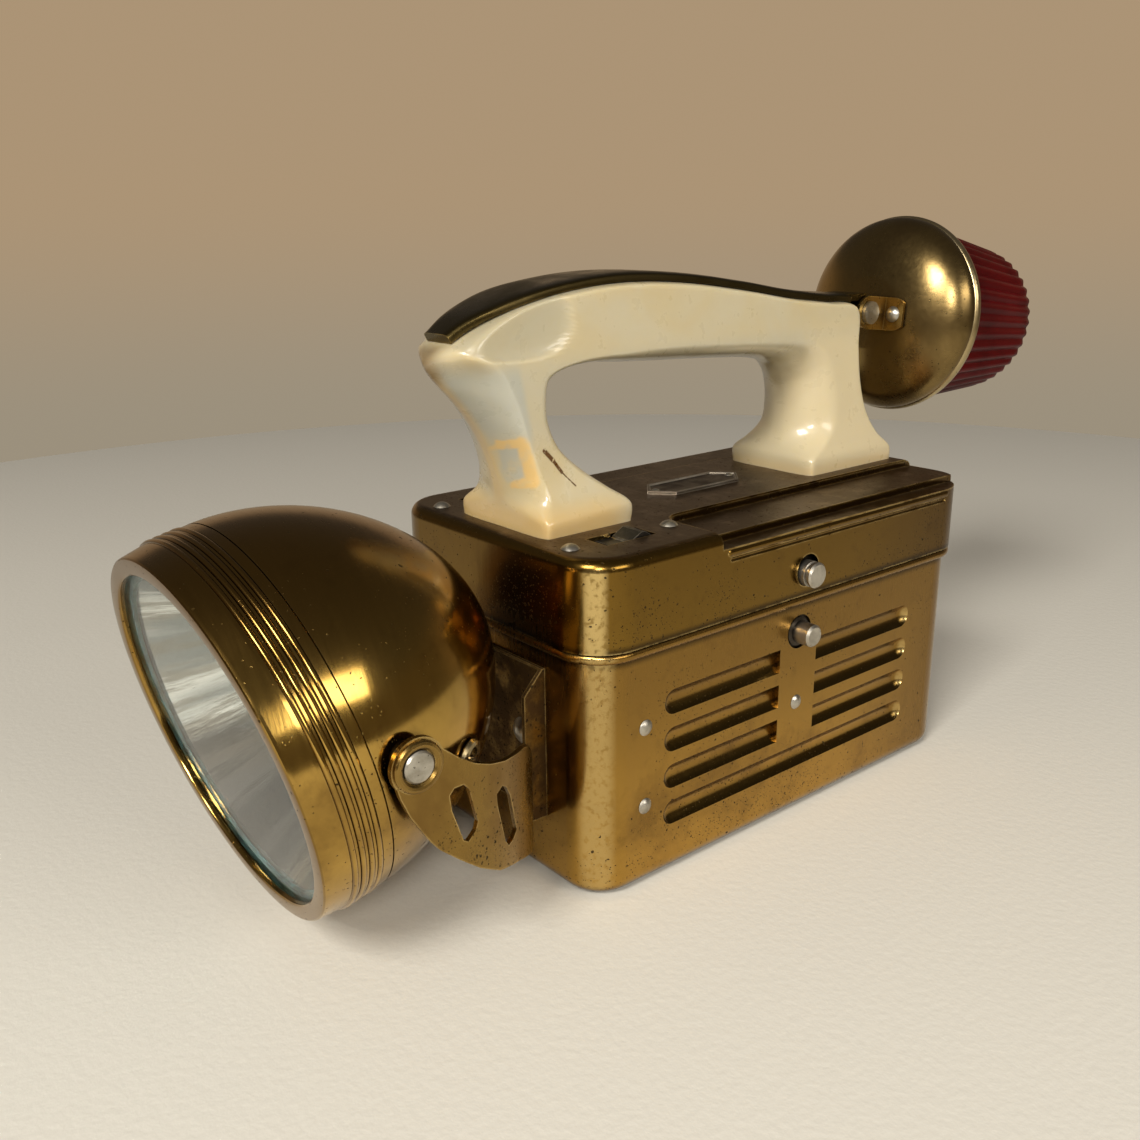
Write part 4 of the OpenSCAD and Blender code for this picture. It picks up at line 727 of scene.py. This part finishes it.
sealLine = [(38.5, 3.95), (43.0, 3.95), (43.05, 4.1), (43.05, 5.2), (43.0, 5.28), (38.9, 5.28), (38.5, 5.0)]
turned("sealRing", "lamp_gasket", sealLine, lampPlace, wrap=True)


def bowlLine(q):
    return lamp["deep"] * (lamp["bowl"] ** 2 - q * q) / (lamp["bowl"] ** 2 - lamp["neck"] ** 2)


seat, sheet = lamp["seat"], lamp["sheet"]
end = seat + lamp["deep"] + lamp["tube"]
bowlTurn = [lamp["neck"] + (lamp["bowl"] - lamp["neck"]) * k / 48 for k in range(49)]
reflectorLine = [(q, seat + bowlLine(q)) for q in bowlTurn] + [(wide, seat), (wide, seat + sheet)]
reflectorLine += [(q + sheet, seat + sheet + bowlLine(q)) for q in reversed(bowlTurn[1:])]
reflectorLine += [(lamp["neck"] + lamp["tubeWall"], end), (lamp["neck"], end)]
turned("lampBowl", "lamp_reflector", reflectorLine, lampPlace, wrap=True)
print("headlamp turned")

# flasher: s back from the rim of its dome
flash = {"pivot": (0, 66.6, 133.1), "droop": 5.5, "reach": 21.7, "r": 30, "dome": 13.5, "flat": 0.9, "sheet": 0.9,
    "shy": 0.1, "inner": 60, "hole": 12.2, "inset": 1.5, "lens": 43, "seat": 2.25, "taper": 0.82,
    "flutes": 40, "perFlute": 10, "rib": 1.1, "crest": 0.7}


def flashPlace(rad, s, t):
    c, d = math.cos(math.radians(-flash["droop"])), math.sin(math.radians(-flash["droop"]))
    y, z = s + flash["reach"], rad * math.sin(t)
    return (rad * math.cos(t), flash["pivot"][1] + y * c - z * d, flash["pivot"][2] + y * d + z * c)


def bulge(rad, deep, angle):
    return rad * math.cos(math.radians(angle)), -deep * math.sin(math.radians(angle))


rad, deep, sheet = flash["r"] - flash["shy"], flash["dome"], flash["sheet"]
crown = flash["flat"] - deep
pole = math.degrees(math.asin(1 - flash["flat"] / deep))
cup = [(0, crown)] + [bulge(rad, deep, pole * (1 - k / 40)) for k in range(41)]
cup += [bulge(rad - sheet, deep - sheet, flash["inner"] * k / 24) for k in range(25)]
cup += [(flash["hole"], crown + sheet), (0, crown + sheet)]
turned("flasherCup", "flasher_dome", cup, flashPlace, steps=160)

bead = {"r": 29.3, "swell": 1.2, "middle": 1.75, "half": 1.6}
beadLine = [(29, 0.05), (29.8, 0.05)]
for k in range(1, 14):
    q = math.pi * k / 14
    beadLine.append((bead["r"] + bead["swell"] * math.sin(q), bead["middle"] - bead["half"] * math.cos(q)))
beadLine += [(29.2, 3.4), (29.2, 2.2), (26.6, 2.2), (26.6, 0.9), (29, 0.9)]
turned("flasherBead", "flasher_ring", beadLine, flashPlace, steps=160, wrap=True)

lensR, lensSteps = flash["r"] - flash["inset"], flash["flutes"] * flash["perFlute"]


# one ring of the lens: distance, growth in radius, share of the flutes
def lensRing(s, grow, flute):
    scale = 1 - (1 - flash["taper"]) * (s - flash["seat"]) / flash["lens"]
    depth = flash["rib"] * flute
    ring = []
    for k in range(lensSteps):
        rib = 0.5 + 0.5 * math.cos(2 * math.pi * k / flash["perFlute"])
        reach = lensR - depth + depth * rib ** flash["crest"] + grow
        ring.append(flashPlace(max(0.0, reach * scale), s, 2 * math.pi * k / lensSteps))
    return ring


shut = -lensR - 5
lensLine = [(flash["seat"] + flash["lens"] * k / 12, 0, 1) for k in range(12)]
lensLine += [(44.6, -0.15, 0.9), (45.1, -0.5, 0.7), (45.25, -1.4, 0.2), (46.8, -2.1, 0), (48.1, -3.6, 0),
    (48.5, -6, 0), (48.55, -14, 0), (48.55, shut, 0)]
lensLine += [(43.2, shut, 0), (43.2, -4, 0), (flash["seat"], -3.2, 0)]
skinned("flasherRed", "flasher_lens", [lensRing(*row) for row in lensLine], wrap=True, sharp=50)
print("flasher turned")

# table and light
studio = {"reach": 0.64, "sides": 96, "drop": 0.0002, "table": (0.76, 0.73, 0.645, 1),
    "mottle": (0.71, 0.68, 0.60, 1), "room": (0.095, 0.085, 0.074, 1), "wall": (0.41, 0.295, 0.18, 1),
    "foot": (0.33, 0.28, 0.205, 1), "dim": (0.12, 0.095, 0.065, 1), "behind": (-0.773, 0.634, 0),
    "spread": (0.30, 0.75), "wallTop": (0.20, 0.38, 0.0, 1.0), "wallFoot": (-0.17, 0.03), "dusk": (0.15, 0.45)}
corners = [2 * math.pi * k / studio["sides"] for k in range(studio["sides"])]
verts = [(studio["reach"] * math.cos(t), studio["reach"] * math.sin(t), -studio["drop"]) for t in corners]
tableMesh = bpy.data.meshes.new("table")
tableMesh.from_pydata(verts, [], [list(range(studio["sides"]))])
table = bpy.data.objects.new("table", tableMesh)
scene.collection.objects.link(table)
tableMat, tree, shader = freshMaterial("paleTable")
where = objectSpace(tree)
grain = noise(tree, where, 900, 3.0)
tree.links.new(blendColour(tree, grain, studio["table"], studio["mottle"]), shader.inputs["Base Color"])
tree.links.new(ramp(tree, grain, 0.2, 0.8, 0.75, 0.62), shader.inputs["Roughness"])
shader.inputs["Specular IOR Level"].default_value = 0.15
bumped(tree, shader, noise(tree, where, 420, 4.0), 0.25, 0.0006)
tableMesh.materials.append(tableMat)

world = bpy.data.worlds.new("room")
scene.world = world
world.use_nodes = True
tree = world.node_tree
tree.nodes.clear()
way = put(tree, "ShaderNodeTexCoord").outputs["Generated"]
height = heightOf(tree, way)
behind = ramp(tree, dotOf(tree, way, studio["behind"]), *studio["spread"])
wall = times(tree, behind, ramp(tree, height, *studio["wallTop"]))
paper = blendColour(tree, ramp(tree, height, *studio["wallFoot"]), studio["foot"], studio["wall"])
around = blendColour(tree, ramp(tree, height, *studio["dusk"]), studio["dim"], studio["room"])
glow = put(tree, "ShaderNodeBackground", {"Color": blendColour(tree, wall, around, paper), "Strength": 1.0})
put(tree, "ShaderNodeOutputWorld", {"Surface": glow.outputs[0]})


def softLamp(name, place, aim, size, power, colour):
    data = bpy.data.lights.new(name, "AREA")
    data.shape = "RECTANGLE"
    data.size, data.size_y = size
    data.energy = power
    data.color = colour
    light = bpy.data.objects.new(name, data)
    scene.collection.objects.link(light)
    light.location = place
    light.rotation_euler = (Vector(aim) - Vector(place)).to_track_quat("-Z", "Y").to_euler()


softLamp("keyLamp", (0.45, -1.0, 0.95), (0, -0.05, 0.05), (0.40, 0.40), 15.0, (1, 0.965, 0.91))
softLamp("fillLamp", (0.98, -0.84, 0.70), (0, 0, 0.08), (0.24, 0.24), 8.0, (1, 0.965, 0.92))
softLamp("sideLamp", (1.27, 0.15, 0.66), (0, -0.05, 0.07), (0.80, 0.36), 6.0, (1, 0.95, 0.88))
print("studio ready")
